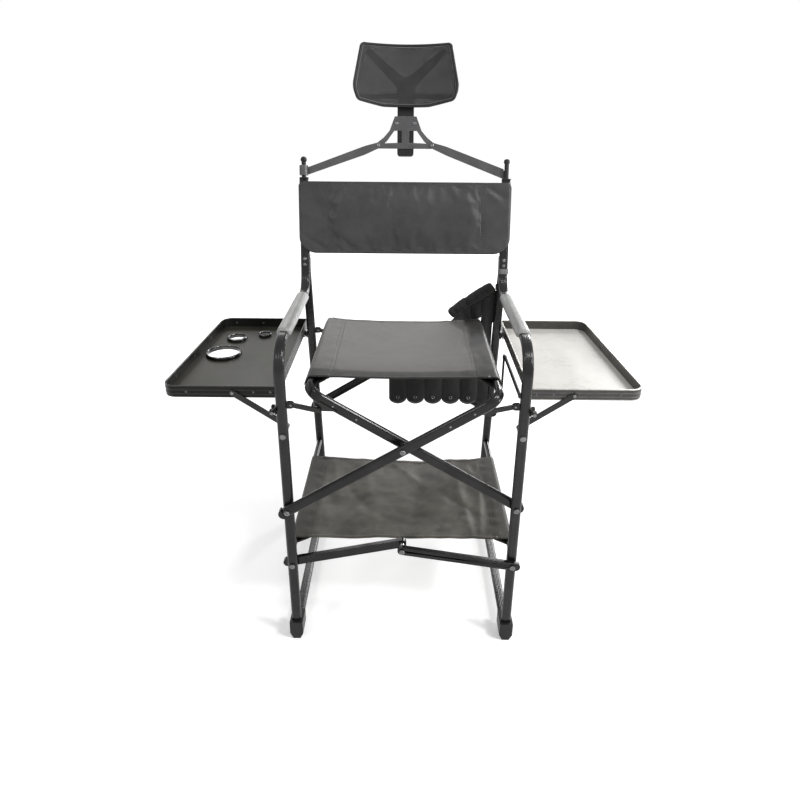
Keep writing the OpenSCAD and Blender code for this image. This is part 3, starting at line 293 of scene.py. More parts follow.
# %% Brushing
tree, given, out = shader_group("brushing", {"Stretch": (40.0, 40.0, 900.0)}, ["Streak", "Patch"])
where = object_place(tree)
pulled = add(tree, "ShaderNodeVectorMath", operation="MULTIPLY", _0=where, _1=given["Stretch"])
streak = add(tree, "ShaderNodeTexNoise", Vector=pulled.outputs[0], Scale=1.0, Detail=3.0)
tree.links.new(streak.outputs["Fac"], out["Streak"])
patch = add(tree, "ShaderNodeTexNoise", Vector=where, Scale=22.0, Detail=5.0, Roughness=0.6)
tree.links.new(patch.outputs["Fac"], out["Patch"])
BRUSHING = tree
print("brushing group:", len(tree.nodes), "nodes")

# %% Wear
tree, given, out = shader_group("wear", {"Amount": 0.5}, ["Mask"])
where = object_place(tree)
rounded = add(tree, "ShaderNodeBevel", samples=4, Radius=0.0012)
flat = tree.nodes.new("ShaderNodeNewGeometry").outputs["Normal"]
alike = add(tree, "ShaderNodeVectorMath", operation="DOT_PRODUCT", _0=rounded.outputs[0], _1=flat)
edge = spread(tree, alike.outputs["Value"], 0.995, 0.86)
broken = add(tree, "ShaderNodeTexNoise", Vector=where, Scale=160.0, Detail=6.0, Roughness=0.7)
patchy = spread(tree, broken.outputs["Fac"], 0.48, 0.62)
tree.links.new(math_node(tree, "MULTIPLY", math_node(tree, "MULTIPLY", edge, patchy),
                         given["Amount"]), out["Mask"])
WEAR = tree
print("groups", [g.name for g in bpy.data.node_groups])

# %% [markdown]
# ## Finishes
# Each finish starts from the same few decisions: two close tones that the surface drifts
# between, two roughness values, and a bump. The chair is nearly black, but its pieces aren't the
# same black: satin aluminium, matt plastic, leather cloth with a soft shine, open mesh. The
# differences between them are what makes the chair readable.

# %% Steps of a finish
def material(name, rough, metal=0.0, **extra):
    """An empty material with its shader; extra are further inputs of the shader."""
    made = bpy.data.materials.new(name)
    made.use_nodes = True
    made.node_tree.nodes.clear()
    tree = made.node_tree
    result = tree.nodes.new("ShaderNodeOutputMaterial")
    shader = add(tree, "ShaderNodeBsdfPrincipled", Roughness=rough, Metallic=metal, **extra)
    tree.links.new(shader.outputs[0], result.inputs["Surface"])
    return made, tree, shader


def use(tree, group, **inputs):
    """The outputs of a node group placed in a material."""
    return add(tree, "ShaderNodeGroup", node_tree=group, **inputs).outputs


def mix(tree, factor, under, over):
    """From one colour to another by a factor; each is a socket or three numbers."""
    under, over = ((*c, 1) if isinstance(c, tuple) else c for c in (under, over))
    return add(tree, "ShaderNodeMix", data_type="RGBA", Factor=factor, _6=under, _7=over).outputs[2]


def scaled(colour, by, plus=0.0):
    """A lighter or darker colour of the same hue."""
    return tuple(min(1.0, by * c + plus) for c in colour)


def connect(tree, shader, colour, rough, height, strength, depth):
    """Links colour and roughness to the shader, and a height by way of a bump."""
    tree.links.new(colour, shader.inputs["Base Color"])
    if rough is not None:
        tree.links.new(rough, shader.inputs["Roughness"])
    bump = add(tree, "ShaderNodeBump", Strength=strength, Distance=depth, Height=height)
    tree.links.new(bump.outputs[0], shader.inputs["Normal"])


print("a tone and its lighter edge:", scaled((0.02, 0.02, 0.02), 4.5, 0.1))

# %% Metal and plastic builders
def metal_finish(name, dark, light, rough, metal, wear, stretch=(60.0, 60.0, 700.0), coat=0.0):
    """Painted or bare metal: brushed along stretch, with brighter metal on worn edges."""
    made, tree, shader = material(name, rough, metal, Specular_IOR_Level=0.22, Coat_Weight=coat,
                                  Coat_Roughness=0.16)
    brushed = use(tree, BRUSHING, Stretch=stretch)
    worn = use(tree, WEAR, Amount=wear)["Mask"]
    colour = mix(tree, spread(tree, brushed["Patch"], 0.3, 0.7), dark, light)
    both = weighed(tree, brushed["Streak"], brushed["Patch"], 0.5)
    connect(tree, shader, mix(tree, worn, colour, scaled(light, 4.5, 0.1)),
            spread(tree, both, 0.3, 0.7, rough - 0.06, rough + 0.08),
            brushed["Streak"], 0.12, 0.00012)
    return made


def plastic_finish(name, dark, light, rough, scale=1400.0, bump=0.25, wear=0.25, coat=0.0):
    """Moulded plastic or foam with a fine pitted grain, scuffed on its edges."""
    made, tree, shader = material(name, rough, Specular_IOR_Level=0.25, Coat_Weight=coat,
                                  Coat_Roughness=0.12)
    grain = use(tree, GRAIN, Scale=scale, Softness=0.6)
    worn = use(tree, WEAR, Amount=wear)["Mask"]
    colour = mix(tree, spread(tree, grain["Shade"], 0.3, 0.7), dark, light)
    connect(tree, shader, mix(tree, worn, colour, scaled(light, 2.2, 0.03)),
            spread(tree, grain["Shade"], 0.3, 0.7, rough - 0.05, rough + 0.07),
            grain["Height"], bump, 0.00008)
    return made


print("builders for", metal_finish.__name__, "and", plastic_finish.__name__)

# %% Metals and plastics
TUBE_FINISH = metal_finish("ribbed_tube", (0.009, 0.0085, 0.0088), (0.02, 0.019, 0.0195), 0.26, 0.5,
                           wear=0.2, coat=0.3)
BAR_FINISH = metal_finish("scissor_tube", (0.008, 0.0075, 0.0075), (0.018, 0.017, 0.017), 0.24, 0.5,
                          wear=0.2, coat=0.24, stretch=(300.0, 60.0, 300.0))
FLAT_FINISH = metal_finish("painted_bar", (0.009, 0.0085, 0.0085), (0.022, 0.021, 0.02), 0.28, 0.45,
                           wear=0.45, coat=0.3)
STEEL_FINISH = metal_finish("bright_steel", (0.11, 0.11, 0.115), (0.24, 0.24, 0.245), 0.24, 0.95,
                            wear=0.2)
LIP_FINISH = metal_finish("tray_lip", (0.34, 0.33, 0.31), (0.5, 0.49, 0.47), 0.3, 0.8, wear=0.2)
RING_FINISH = metal_finish("dark_chrome", (0.05, 0.05, 0.05), (0.1, 0.1, 0.1), 0.12, 1.0, wear=0.3)
YOKE_FINISH = metal_finish("yoke_paint", (0.075, 0.075, 0.078), (0.11, 0.11, 0.112), 0.3, 0.5,
                           wear=0.6)
BLACK_FINISH = plastic_finish("black_plastic", (0.007, 0.007, 0.007), (0.017, 0.017, 0.017), 0.36)
GREY_FINISH = plastic_finish("grey_plastic", (0.13, 0.125, 0.125), (0.19, 0.185, 0.185), 0.4)
FOAM_FINISH = plastic_finish("arm_foam", (0.22, 0.225, 0.22), (0.34, 0.345, 0.335), 0.34,
                             scale=2200.0, bump=0.35, wear=0.1, coat=0.25)
print("hard finishes ready")

# %% [markdown]
# ## Cloth finishes
# The seat and back are a coated cloth with a leather grain: mid grey where light grazes it, dark
# in the folds. The seat's front band and right sleeve get painted shade. The shelf is a thinner
# olive-grey weave, the pouch a black one; the shelf's sleeves and soft folds get painted shade.
# The trays are moulded plastic whose floor and rim differ in tone, which a height mask along the
# tray's own Z gives, so the tones stay in place when a tray folds down. The right tray's pale
# floor is a painted reflection of the bright surround.

# %% Leather builder
def leather_finish(name, dark, light, rough, sheen, front=None, sleeve_from=None):
    """Coated cloth; ahead of front, along Y, and beyond sleeve_from, along X, painted shade darkens it."""
    made, tree, shader = material(name, rough, Sheen_Weight=sheen, Sheen_Roughness=0.45,
                                  Specular_IOR_Level=0.25)
    grain = use(tree, GRAIN, Scale=750.0, Softness=0.35)
    weave = use(tree, WEAVE, Pitch=700.0)
    colour = mix(tree, spread(tree, grain["Shade"], 0.3, 0.72), dark, light)
    grain_and_painted_shade = mix(tree, spread(tree, grain["Height"], 0.35, 0.0, 0.0, 0.5), colour, scaled(dark, 0.6))
    # Painted shade: a dark band along the front edge, where the cloth rolls down, and dark patches on the
    # right sleeve, which turns away from the light.
    if front is not None:
        place = object_place(tree)
        across, along, _ = axes_of(tree, place)
        front_painted_shade = spread(tree, along, front - 0.006, front + 0.006, 1.0, 0.0)
        sleeve_shade_noise = add(tree, "ShaderNodeTexNoise", Vector=place, Scale=16.0, Detail=1.0).outputs[0]
        sleeve_painted_shade = math_node(tree, "MULTIPLY", spread(tree, across, sleeve_from, sleeve_from + 0.006),
                           spread(tree, sleeve_shade_noise, 0.42, 0.52, 0.7, 1.0))
        grain_and_painted_shade = mix(tree, math_node(tree, "MAXIMUM", front_painted_shade, sleeve_painted_shade), grain_and_painted_shade, scaled(dark, 0.22))
    relief = math_node(tree, "ADD", grain["Height"], math_node(tree, "MULTIPLY", weave["Height"], 0.25))
    connect(tree, shader, grain_and_painted_shade, spread(tree, grain["Shade"], 0.3, 0.7, rough - 0.06, rough + 0.08),
            relief, 0.35, 0.00015)
    return made


# The seat's front band and right sleeve get painted shade.
SEAT_FINISH = leather_finish("seat_leather", (0.068, 0.065, 0.06), (0.115, 0.111, 0.103), 0.46, 0.08,
                             front=-0.172, sleeve_from=0.17)
BACK_FINISH = leather_finish("back_leather", (0.032, 0.032, 0.033), (0.06, 0.06, 0.061), 0.4, 0.1)
print("leather cloth:", SEAT_FINISH.name, BACK_FINISH.name)

# %% Weave builder
def weave_finish(name, dark, light, rough, sheen, pitch, shade_sleeves_from=None):
    """Plain weave; given a limit along X, the sleeves beyond it get painted shade, and large dark blotches
    are painted shade of soft folds.
    """
    made, tree, shader = material(name, rough, Sheen_Weight=sheen, Sheen_Roughness=0.5,
                                  Specular_IOR_Level=0.25)
    weave = use(tree, WEAVE, Pitch=pitch)
    both = weighed(tree, weave["Shade"], weave["Height"], 0.75)
    colour = mix(tree, spread(tree, both, 0.3, 0.7), dark, light)
    # Painted shade: the sleeves beyond the limit go dark, and large noise blotches stand for the shade of
    # soft folds.
    if shade_sleeves_from is not None:
        place = object_place(tree)
        across = math_node(tree, "ABSOLUTE", axes_of(tree, place)[0])
        fold_shade_blotch = add(tree, "ShaderNodeTexNoise", Vector=place, Scale=11.0, Detail=3.0).outputs[0]
        edge = spread(tree, across, shade_sleeves_from - 0.006, shade_sleeves_from + 0.01, 0.0, 0.8)
        painted_shade_mask = math_node(tree, "MAXIMUM", edge, spread(tree, fold_shade_blotch, 0.5, 0.66, 0.0, 0.75))
        colour = mix(tree, painted_shade_mask, colour, scaled(dark, 0.55))
    connect(tree, shader, colour, spread(tree, weave["Shade"], 0.3, 0.7, rough - 0.05, rough + 0.05),
            weave["Height"], 0.5, 0.0003)
    return made


# The shelf's sleeves and soft folds get painted shade.
SHELF_FINISH = weave_finish("shelf_weave", (0.03, 0.028, 0.022), (0.13, 0.122, 0.1), 0.46, 0.08, 650.0,
                            shade_sleeves_from=0.225)
POUCH_FINISH = weave_finish("pouch_weave", (0.006, 0.006, 0.006), (0.02, 0.02, 0.02), 0.55, 0.1, 800.0)
THREAD_FINISH = weave_finish("thread", (0.05, 0.05, 0.05), (0.11, 0.11, 0.11), 0.6, 0.3, 2500.0)
print("weaves:", SHELF_FINISH.name, POUCH_FINISH.name, THREAD_FINISH.name)

# %% Tray builder
FLOOR_TOP, FLOOR_UNDER, FLOOR_BLUR = 0.6711, 0.6699, 0.0002


def tray_finish(name, rim, floor, rough):
    """Two tones split at the tray's floor, in the tray's own coordinates."""
    made, tree, shader = material(name, rough, Specular_IOR_Level=0.15)
    grain = use(tree, GRAIN, Scale=1600.0, Softness=0.5)
    worn = use(tree, WEAR, Amount=0.6)["Mask"]
    place = object_place(tree)
    height = axes_of(tree, place)[2]
    above = spread(tree, height, FLOOR_TOP, FLOOR_TOP + FLOOR_BLUR)
    below = spread(tree, height, FLOOR_UNDER, FLOOR_UNDER - FLOOR_BLUR)
    off_floor = math_node(tree, "MAXIMUM", above, below)
    dark = mix(tree, spread(tree, grain["Shade"], 0.3, 0.7), rim, scaled(rim, 1.6))
    pale = mix(tree, spread(tree, grain["Shade"], 0.3, 0.7), scaled(floor, 0.86), floor)
    split = mix(tree, off_floor, pale, dark)
    connect(tree, shader, mix(tree, worn, split, scaled(rim, 2.5, 0.05)),
            spread(tree, grain["Shade"], 0.3, 0.7, rough - 0.06, rough + 0.06),
            grain["Height"], 0.2, 0.00006)
    return made


TRAY_DARK = tray_finish("tray_dark", (0.007, 0.007, 0.006), (0.03, 0.029, 0.022), 0.34)
# The right tray's pale floor tone is a painted reflection of the bright surround on dark glossy plastic.
TRAY_PAINTED_REFLECTION = tray_finish("tray_painted_reflection", (0.055, 0.052, 0.048), (0.64, 0.625, 0.59), 0.3)
print("trays:", TRAY_DARK.name, TRAY_PAINTED_REFLECTION.name)

# %% [markdown]
# ## Open mesh for the headrest
# The headrest's panel is a net one can see through. Modelling thousands of holes would be slow,
# so the threads are drawn by a mask that feeds Alpha: two sets of bands cross at a right angle,
# and where neither band runs, the surface is a hole.

# %% Net
NET_PITCH = (2.3, 2.0)                    # millimetres from hole to hole, across and up
NET_FINISH, tree, shader = material("headrest_net", 0.55, Specular_IOR_Level=0.15)
where = object_place(tree)
axes = axes_of(tree, where)
bands = []
for axis, pitch_mm in zip((axes[0], axes[2]), NET_PITCH):
    turns = math_node(tree, "MULTIPLY", axis, math.pi / (pitch_mm * MM))
    wave = math_node(tree, "ABSOLUTE", math_node(tree, "SINE", turns))
    bands.append(wave)
hole = math_node(tree, "MULTIPLY", bands[0], bands[1])
thread = spread(tree, hole, 0.985, 0.95)
tree.links.new(thread, shader.inputs["Alpha"])
drift = add(tree, "ShaderNodeTexNoise", Vector=where, Scale=30.0, Detail=4.0)
connect(tree, shader, mix(tree, drift.outputs["Fac"], (0.022, 0.022, 0.023), (0.045, 0.045, 0.046)),
        None, spread(tree, hole, 0.8, 0.0), 0.6, 0.0005)
print("a hole of the net every", NET_PITCH, "mm")

# %% [markdown]
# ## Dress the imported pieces
# Bolts, stays, feet, brackets and trays already have the right shape. They keep it, and only get
# small rounded edges from a Bevel modifier and the finish of their slot in the record.

# %% Finishes by slot
by_slot = {
    "frame_tube": TUBE_FINISH, "scissor_tube": BAR_FINISH, "flat_bar": FLAT_FINISH,
    "black_plastic": BLACK_FINISH, "bright_metal": STEEL_FINISH, "arm_foam": FOAM_FINISH,
    "grey_plastic": GREY_FINISH, "seat_cloth": SEAT_FINISH, "shelf_cloth": SHELF_FINISH,
    "pouch_cloth": POUCH_FINISH, "tray_plastic": TRAY_DARK, "tray_light": TRAY_PAINTED_REFLECTION,
    "ring_metal": RING_FINISH, "mesh_cloth": NET_FINISH,
}
slot_of = {row["node"]: row["material_slot"] for row in frame["record"]["subparts"]}
for name, node_object in nodes.items():
    node_object.data.materials.clear()
    node_object.data.materials.append(by_slot[slot_of[name]])
for name in ("yoke_arm_left", "yoke_arm_right", "yoke_bracket"):
    nodes[name].data.materials[0] = YOKE_FINISH
print("finishes for", len(by_slot), "slots")

# %% Rounded edges
def soften(target, width, segments=2, angle=30):
    """Small rounded edges, as every moulded or deburred piece has."""
    weld = target.modifiers.new("weld", "WELD")
    weld.merge_threshold = 0.01 * MM
    bevel = target.modifiers.new("edges", "BEVEL")
    bevel.width, bevel.segments = width * MM, segments
    bevel.limit_method, bevel.angle_limit = "ANGLE", math.radians(angle)
    target.data.polygons.foreach_set("use_smooth", [True] * len(target.data.polygons))
    keep = target.modifiers.new("flats", "WEIGHTED_NORMAL")
    keep.keep_sharp = True


edge_widths = {"foot": 1.4, "brace": 1.2, "tray": 0.8, "strut": 0.7, "stay": 0.7, "neck": 2.0,
               "yoke": 0.5, "head_support": 0.9, "bolts": 0.7, "rivets": 0.6, "brackets": 0.8,
               "scissor_caps": 1.5, "gussets": 0.5, "catch": 0.5, "pin": 0.8, "collar": 0.8}
for name, node_object in nodes.items():
    widths = [w for part, w in edge_widths.items() if part in name]
    if widths and "shelf" not in name:
        soften(node_object, max(widths) if "pins" not in name else 0.4)
print("dressed", len(nodes), "packed pieces")

# %% [markdown]
# ## Ribbed tubes
# The side frames are bent from flat oval aluminium tube that was drawn with shallow lengthwise
# ribs. The ribs catch the light as thin lines, so they are modelled, not painted. A section with
# 16 grooves is carried along the bent line of each tube. The line is written as the bender would:
# straight, turn, straight, turn. One helper serves the frame tubes, which stay in one upright
# plane, and the scissor tubes, whose plane leans with the diagonal.

# %% Section of a tube
def ribbed_section(width, thick, rib=4.2, depth=0.5, count=96):
    """Points of a flat oval with grooves; x across, y through."""
    flat, r = width - thick, thick / 2
    around = 2 * flat + 2 * math.pi * r
    grooves, arc_len, ring = round(around / rib), math.pi * thick / 2, []
    for i in range(count):
        s = around * i / count
        if s < flat:
            base, normal = (s - flat / 2, r), (0, 1)
        elif s < flat + arc_len:
            a = (s - flat) / r
            base, normal = (flat / 2 + r * math.sin(a), r * math.cos(a)), (math.sin(a), math.cos(a))
        elif s < 2 * flat + arc_len:
            base, normal = (flat / 2 - (s - flat - arc_len), -r), (0, -1)
        else:
            a = (s - 2 * flat - arc_len) / r
            base, normal = (-flat / 2 - r * math.sin(a), -r * math.cos(a)), (-math.sin(a), -math.cos(a))
        cut = depth * (1 - abs(math.sin(math.pi * grooves * s / around))) ** 2
        ring.append((base[0] - normal[0] * cut, base[1] - normal[1] * cut))
    return ring


print("points of a tube's section:", len(ribbed_section(TUBE_W, TUBE_T)))

# %% Line of a tube
def bent_line(start, heading, steps, spacing=12.0, per_degree=0.25):
    """Points (p, q, heading) of a line made of (straight, turn in degrees, radius) steps."""
    p, q = start
    a = math.radians(heading)
    line = [(p, q, a)]
    for run, turn_deg, radius in steps:
        count = max(1, round(run / spacing))
        line += [(p + run * i / count * math.cos(a), q + run * i / count * math.sin(a), a)
                 for i in range(1, count + 1)]
        p, q = line[-1][:2]
        if turn_deg:
            side = 1 if turn_deg > 0 else -1
            centre = (p - side * radius * math.sin(a), q + side * radius * math.cos(a))
            count = math.ceil(abs(turn_deg) * per_degree)
            for i in range(1, count + 1):
                b = a + math.radians(turn_deg) * i / count
                line.append((centre[0] + side * radius * math.sin(b),
                             centre[1] - side * radius * math.cos(b), b))
            p, q, a = line[-1]
    return line


def tube(name, section, line, place, body, node, finish, slot):
    """Carries a section along a line; place turns (across, p, q) into a point of the chair."""
    rings = [[place(w, p - t * math.sin(a), q + t * math.cos(a)) for w, t in section]
             for p, q, a in line]
    made = piece(name, loft(rings), body, finish, slot)
    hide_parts(node)


quarter = bent_line((0, 0), 0, [(100, 90, 60)])
print("a 60 mm bend after 100 mm ends at", [round(n) for n in quarter[-1][:2]])

# %% Side frame tubes
SIDES = ((-1, "left"), (1, "right"))
FOOT_TOP, REAR_END_S = 41.0, 94.0
turn_post, front_r, post_r = 90 - math.degrees(POST_LEAN), 70.0, 60.0
post_tangent = post_r * math.tan(math.radians(turn_post) / 2)
arm_start, arm_end = LEG_Y + front_r, POST_Y - post_tangent
front_line = bent_line((LEG_Y, FOOT_TOP), 90, [
    (ARM_H - front_r - FOOT_TOP, -90, front_r), (arm_end - arm_start, turn_post, post_r),
    (POST_LEN - post_tangent, 0, 0)])
runner_start, runner_r, knee_r = LEG_Y + 12, 60.0, 48.0
turn_rear, turn_knee = 90 + math.degrees(REAR_LEAN), math.degrees(REAR_LEAN + POST_LEAN)
rear_tangent = runner_r * math.tan(math.radians(turn_rear) / 2)
post_back = TUBE_T + 0.1
knee_z = (REAR_FOOT_Y + math.tan(REAR_LEAN) * RUNNER_H - POST_Y - post_back / math.cos(POST_LEAN)
          + math.tan(POST_LEAN) * ARM_H) / (math.tan(REAR_LEAN) + math.tan(POST_LEAN))
knee_tangent = knee_r * math.tan(math.radians(turn_knee) / 2)
knee_s = (knee_z - ARM_H) / math.cos(POST_LEAN)
rear_line = bent_line((runner_start, RUNNER_H), 0, [
    (REAR_FOOT_Y - rear_tangent - runner_start, turn_rear, runner_r),
    ((knee_z - RUNNER_H) / math.cos(REAR_LEAN) - rear_tangent - knee_tangent, -turn_knee, knee_r),
    (REAR_END_S - knee_s - knee_tangent, 0, 0)])
frame_section = ribbed_section(TUBE_W - 0.1, TUBE_T - 0.1)
for side, word in SIDES:
    def stand(w, p, q, x=side * LEG_X):
        return (x + w, p, q)
    tube(f"{word}_ribbed_front", frame_section, front_line, stand, f"{word}_frame",
         f"{word}_front_tube", TUBE_FINISH, "frame_tube")
    tube(f"{word}_ribbed_rear", frame_section, rear_line, stand, f"{word}_frame",
         f"{word}_rear_tube", TUBE_FINISH, "frame_tube")
print("front line", len(front_line), "rear line", len(rear_line), "rings")


# %% Scissor tubes
def on_diagonal(side, y):
    """Turns (square to the diagonal, y, up the diagonal) into a point of the chair."""
    tilt = side * (math.pi / 2 - SCISSOR)

    def place(w, p, q):
        return (-side * LEG_X + w * math.cos(tilt) + q * math.sin(tilt), y + p,
                PIVOT_H - w * math.sin(tilt) + q * math.cos(tilt))
    return place


bar_r, bar_tail = 36.0, 10.0
reach = (LEG_X + RAIL_X) / math.cos(SCISSOR) - bar_r + bar_tail
bar_section = ribbed_section(BAR_H - 0.1, BAR_T - 0.1, rib=8.6, depth=0.3)
for side, word, near, far in ((1, "a", BAR_A_Y, REAR_A_Y), (-1, "b", BAR_B_Y, REAR_B_Y)):
    line = bent_line((0, -bar_tail), 90, [(reach, -90, bar_r), (far - near - 2 * bar_r, -90, bar_r),
                                          (reach, 0, 0)])
    tube(f"scissor_{word}_drawn", bar_section, line, on_diagonal(side, near), f"scissor_{word}",
         f"scissor_tube_{word}", BAR_FINISH, "scissor_tube")
print("each diagonal is", round(reach), "mm long before its bend")

# %% [markdown]
# ## Screw and bolt heads
# Every joint of the chair shows a bolt head or a rivet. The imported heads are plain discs. A turned
# cap with a rounded shoulder and a hexagon socket sits on each of them, and behind each pivot
# there is a lock nut. They are lathe shapes: one outline turned round an axis, with the socket's
# rings pulled into a hexagon.

# %% Turned heads
def full_turn(count):
    """The angles of a full turn in equal steps."""
    return [2 * math.pi * k / count for k in range(count)]


def hexagon(angle):
    """The radius of a hexagon, 1 at its corners, in a direction."""
    return math.cos(math.pi / 6) / math.cos((angle % (math.pi / 3)) - math.pi / 6)


def turned_head(centre, axis, radius, height, socket=True, nut=False, count=36):
    """A cap with its flat side at centre, standing along axis."""
    axis = Vector(axis).normalized()
    u = axis.orthogonal().normalized()
    v = axis.cross(u)
    outline = [(1.0, -0.25, 0), (1.0, 0.35, 0), (0.95, 0.6, 0), (0.83, 0.82, 0), (0.66, 0.95, 0),
               (0.52, 1.0, 0)]
    if nut:
        outline = [(1.0, -0.25, 1), (1.0, 0.7, 1), (0.93, 0.88, 0.7), (0.8, 1.0, 0), (0.56, 1.0, 0),
                   (0.52, 0.92, 0), (0.5, 1.15, 0), (0.4, 1.25, 0), (0.02, 1.28, 0)]
    elif socket:
        outline += [(0.49, 0.98, 1), (0.46, 0.35, 1), (0.05, 0.3, 1)]
    else:
        outline += [(0.35, 1.04, 0), (0.15, 1.07, 0), (0.02, 1.08, 0)]
    rings = []
    for part, up, hexed in outline:
        ring = []
        for a in full_turn(count):
            r = radius * part * (1 + hexed * (hexagon(a) - 1))
            ring.append(Vector(centre) + r * (math.cos(a) * u + math.sin(a) * v) + up * height * axis)
        rings.append(ring)
    return loft(rings)


def rivet_head(centre, axis, radius=4.2, height=1.3):
    """A low cap without a socket."""
    return turned_head(centre, axis, radius, height, socket=False)


FRONT, BACK = (0, -1, 0), (0, 1, 0)
lean_front, lean_back = (lean(0, y, 0) - lean(0, 0, 0) for y in (-1, 1))
BOLT_R, BOLT_UP, NUT_UP = 6.4, 2.4, 3.0        # radius of a head, height of a head and of a nut
print("a bolt head has", len(turned_head((0, 0, 0), FRONT, BOLT_R, BOLT_UP)[0]), "points")

# %% Heads of the side frames
DISC, SPACER = 3.2, 12.5                 # a packed head's thickness, the brace's right spacer
BRACE_H = {"left": 230.0, "right": 243.0}
STRUT_STUD_H, POST_RIVETS = 598.0, (71, 86)
leg_face = LEG_Y - TUBE_T / 2
heads = {body: [] for body in ("left_frame", "right_frame", "scissor_a", "scissor_b", "brace_r", "yoke",
                               "strut_l", "strut_r")}
for side, word in SIDES:
    x, row = side * LEG_X, heads[f"{word}_frame"]
    pivot_face = leg_face - DISC - (BAR_STEP if side < 0 else 0)
    brace_face = leg_face - DISC - (0 if side < 0 else SPACER)
    row += [turned_head((x, pivot_face, PIVOT_H), FRONT, BOLT_R, BOLT_UP),
            turned_head((x, brace_face, BRACE_H[word]), FRONT, BOLT_R, BOLT_UP),
            rivet_head((x, leg_face - 2.2, STRUT_STUD_H), FRONT, 6.2, 2.0)]
    back_face = rear_leg_y(PIVOT_H) + (REAR_HALF + BAR_STEP if side < 0 else REAR_HALF) + DISC
    row.append(turned_head((x, back_face, PIVOT_H), BACK, BOLT_R, NUT_UP, nut=True))
    for s in POST_RIVETS:
        row += [rivet_head(lean(x, -9.2, s), lean_front), rivet_head(lean(x, 24.3, s), lean_back)]
print("side frame heads", len(heads["left_frame"]), len(heads["right_frame"]))

# %% Heads of the scissor, brace, yoke and struts
CROSS_FACE, STAY_LUG_X, STAY_LUG_STEP = 10.7, 106, 62
heads["scissor_a"] += [
    turned_head((0, BAR_A_Y - CROSS_FACE, CROSS_H), FRONT, BOLT_R, 2.6),
    turned_head((0, REAR_A_Y + CROSS_FACE, CROSS_H), BACK, BOLT_R, NUT_UP, nut=True)]
up_bar = (LEG_X + STAY_LUG_X) / math.cos(SCISSOR)
for side, word, y in ((1, "a", BAR_A_Y), (-1, "b", BAR_B_Y)):
    for along in (up_bar, up_bar + STAY_LUG_STEP):
        spot = on_diagonal(side, y)(0, -BAR_T / 2 + 0.1, along)
        heads[f"scissor_{word}"].append(rivet_head(spot, FRONT, 2.6, 1.0))
heads["brace_r"].append(turned_head((0, LEG_Y - 8 - 12 - 3.1, 288.0), FRONT, BOLT_R, BOLT_UP))
for x, y, s in ((72, 6.9, 389), (-72, 6.9, 389), (24, 10.0, 446), (-24, 10.0, 446)):
    heads["yoke"].append(rivet_head(lean(x, y, s), lean_front))
for side, body in ((-1, "strut_l"), (1, "strut_r")):
    heads[body].append(rivet_head((side * 393, -238.5, 682), FRONT))
for body, shapes in heads.items():
    piece(f"{body}_heads", together(shapes), body, STEEL_FINISH, "bright_metal")
print("heads", sum(len(s) for s in heads.values()))

# %% [markdown]
# ## Arm pads
# The pads are foam sleeves, half round on top and tucked under the arm tube. Both ends draw in
# over the last few millimetres, and a shallow seam runs round them near the ends. A closed ring
# carried along the arm does it, with the ring's size falling off at the ends.

# %% Arm pads
PAD_HALF, PAD_UP, PAD_DOWN = 17.0, 14.8, 5.0


def squarish(value, power):
    """A sine or cosine pushed to its ends, which makes a round section a rounded box."""
    return math.copysign(abs(value) ** power, value)


def pad_ring(x, y, grow):
    """One section of a pad: half round above the tube, flat below it."""
    ring = []
    for a in full_turn(40):
        c, s = math.cos(a), math.sin(a)
        across = PAD_HALF * squarish(c, 0.8)
        up = PAD_UP * s if s > 0 else -PAD_DOWN * abs(s) ** 0.45
        wave = 0.35 * noise.noise(Vector((across * 0.06, y * 0.05, up * 0.06 + x)))
        ring.append((x + across * grow + wave, y, ARM_H + up * grow + wave))
    return ring


def round_off(t):
    """A quarter circle: 0 at t = 0, 1 from t = 1 on."""
    return math.sqrt(max(0.0, 1 - (1 - min(1.0, max(0.0, t))) ** 2))


pad_from, pad_to = arm_start + 8, arm_end - 12
for side, word in SIDES:
    rings = []
    for i in range(61):
        t = i / 60
        y = pad_from + (pad_to - pad_from) * t
        from_end = min(y - pad_from, pad_to - y)
        grow = 0.8 + 0.2 * round_off(from_end / 7)
        grow -= 0.02 * math.exp(-((from_end - 13) / 1.8) ** 2)
        rings.append(pad_ring(side * LEG_X, y, grow))
    pad = piece(f"{word}_arm_foam", loft(rings), f"{word}_frame", FOAM_FINISH, "arm_foam")
    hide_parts(f"{word}_arm_pad")
print("arm pads from", round(pad_from), "to", round(pad_to))

# %% [markdown]
# ## Cloth helpers
# A strip of cloth here is a grid: one line across it, repeated at stations along it, then given
# its thickness by a Solidify modifier. Folds are drawn like a tailor marks them, each as a short
# line with a height and a width. Stitches are real little capsules, because a seam that is only
# painted vanishes in a close view. Each cloth piece also gets a mesh of its own.


def gathers(target):
    """Gives a cloth piece a mesh of its own."""
    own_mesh(target)


def strip(name, line, stations, at, body, finish, slot, thick=CLOTH):
    """Cloth along a line; at(point, v, share) places it at station v, share runs along the line."""
    lengths = [0.0]
    for a, b in zip(line, line[1:]):
        lengths.append(lengths[-1] + math.dist(a, b))
    rings = [[at(p, j / stations, s / lengths[-1]) for p, s in zip(line, lengths)]
             for j in range(stations + 1)]
    made = piece(name, loft(rings, wrap=False), body, finish, slot)
    solid = made.modifiers.new("thickness", "SOLIDIFY")
    solid.thickness, solid.offset = thick * MM, 0.0
    return made


# %% Lines and folds
def arc(cx, cy, r, from_deg, to_deg, steps):
    """Points of an arc round (cx, cy)."""
    angles = [math.radians(from_deg + (to_deg - from_deg) * i / steps) for i in range(steps + 1)]
    return [(cx + r * math.cos(a), cy + r * math.sin(a)) for a in angles]


def mirrored(line):
    """The same line on the other side of the chair, run backwards."""
    return [(-x, y) for x, y in reversed(line)]


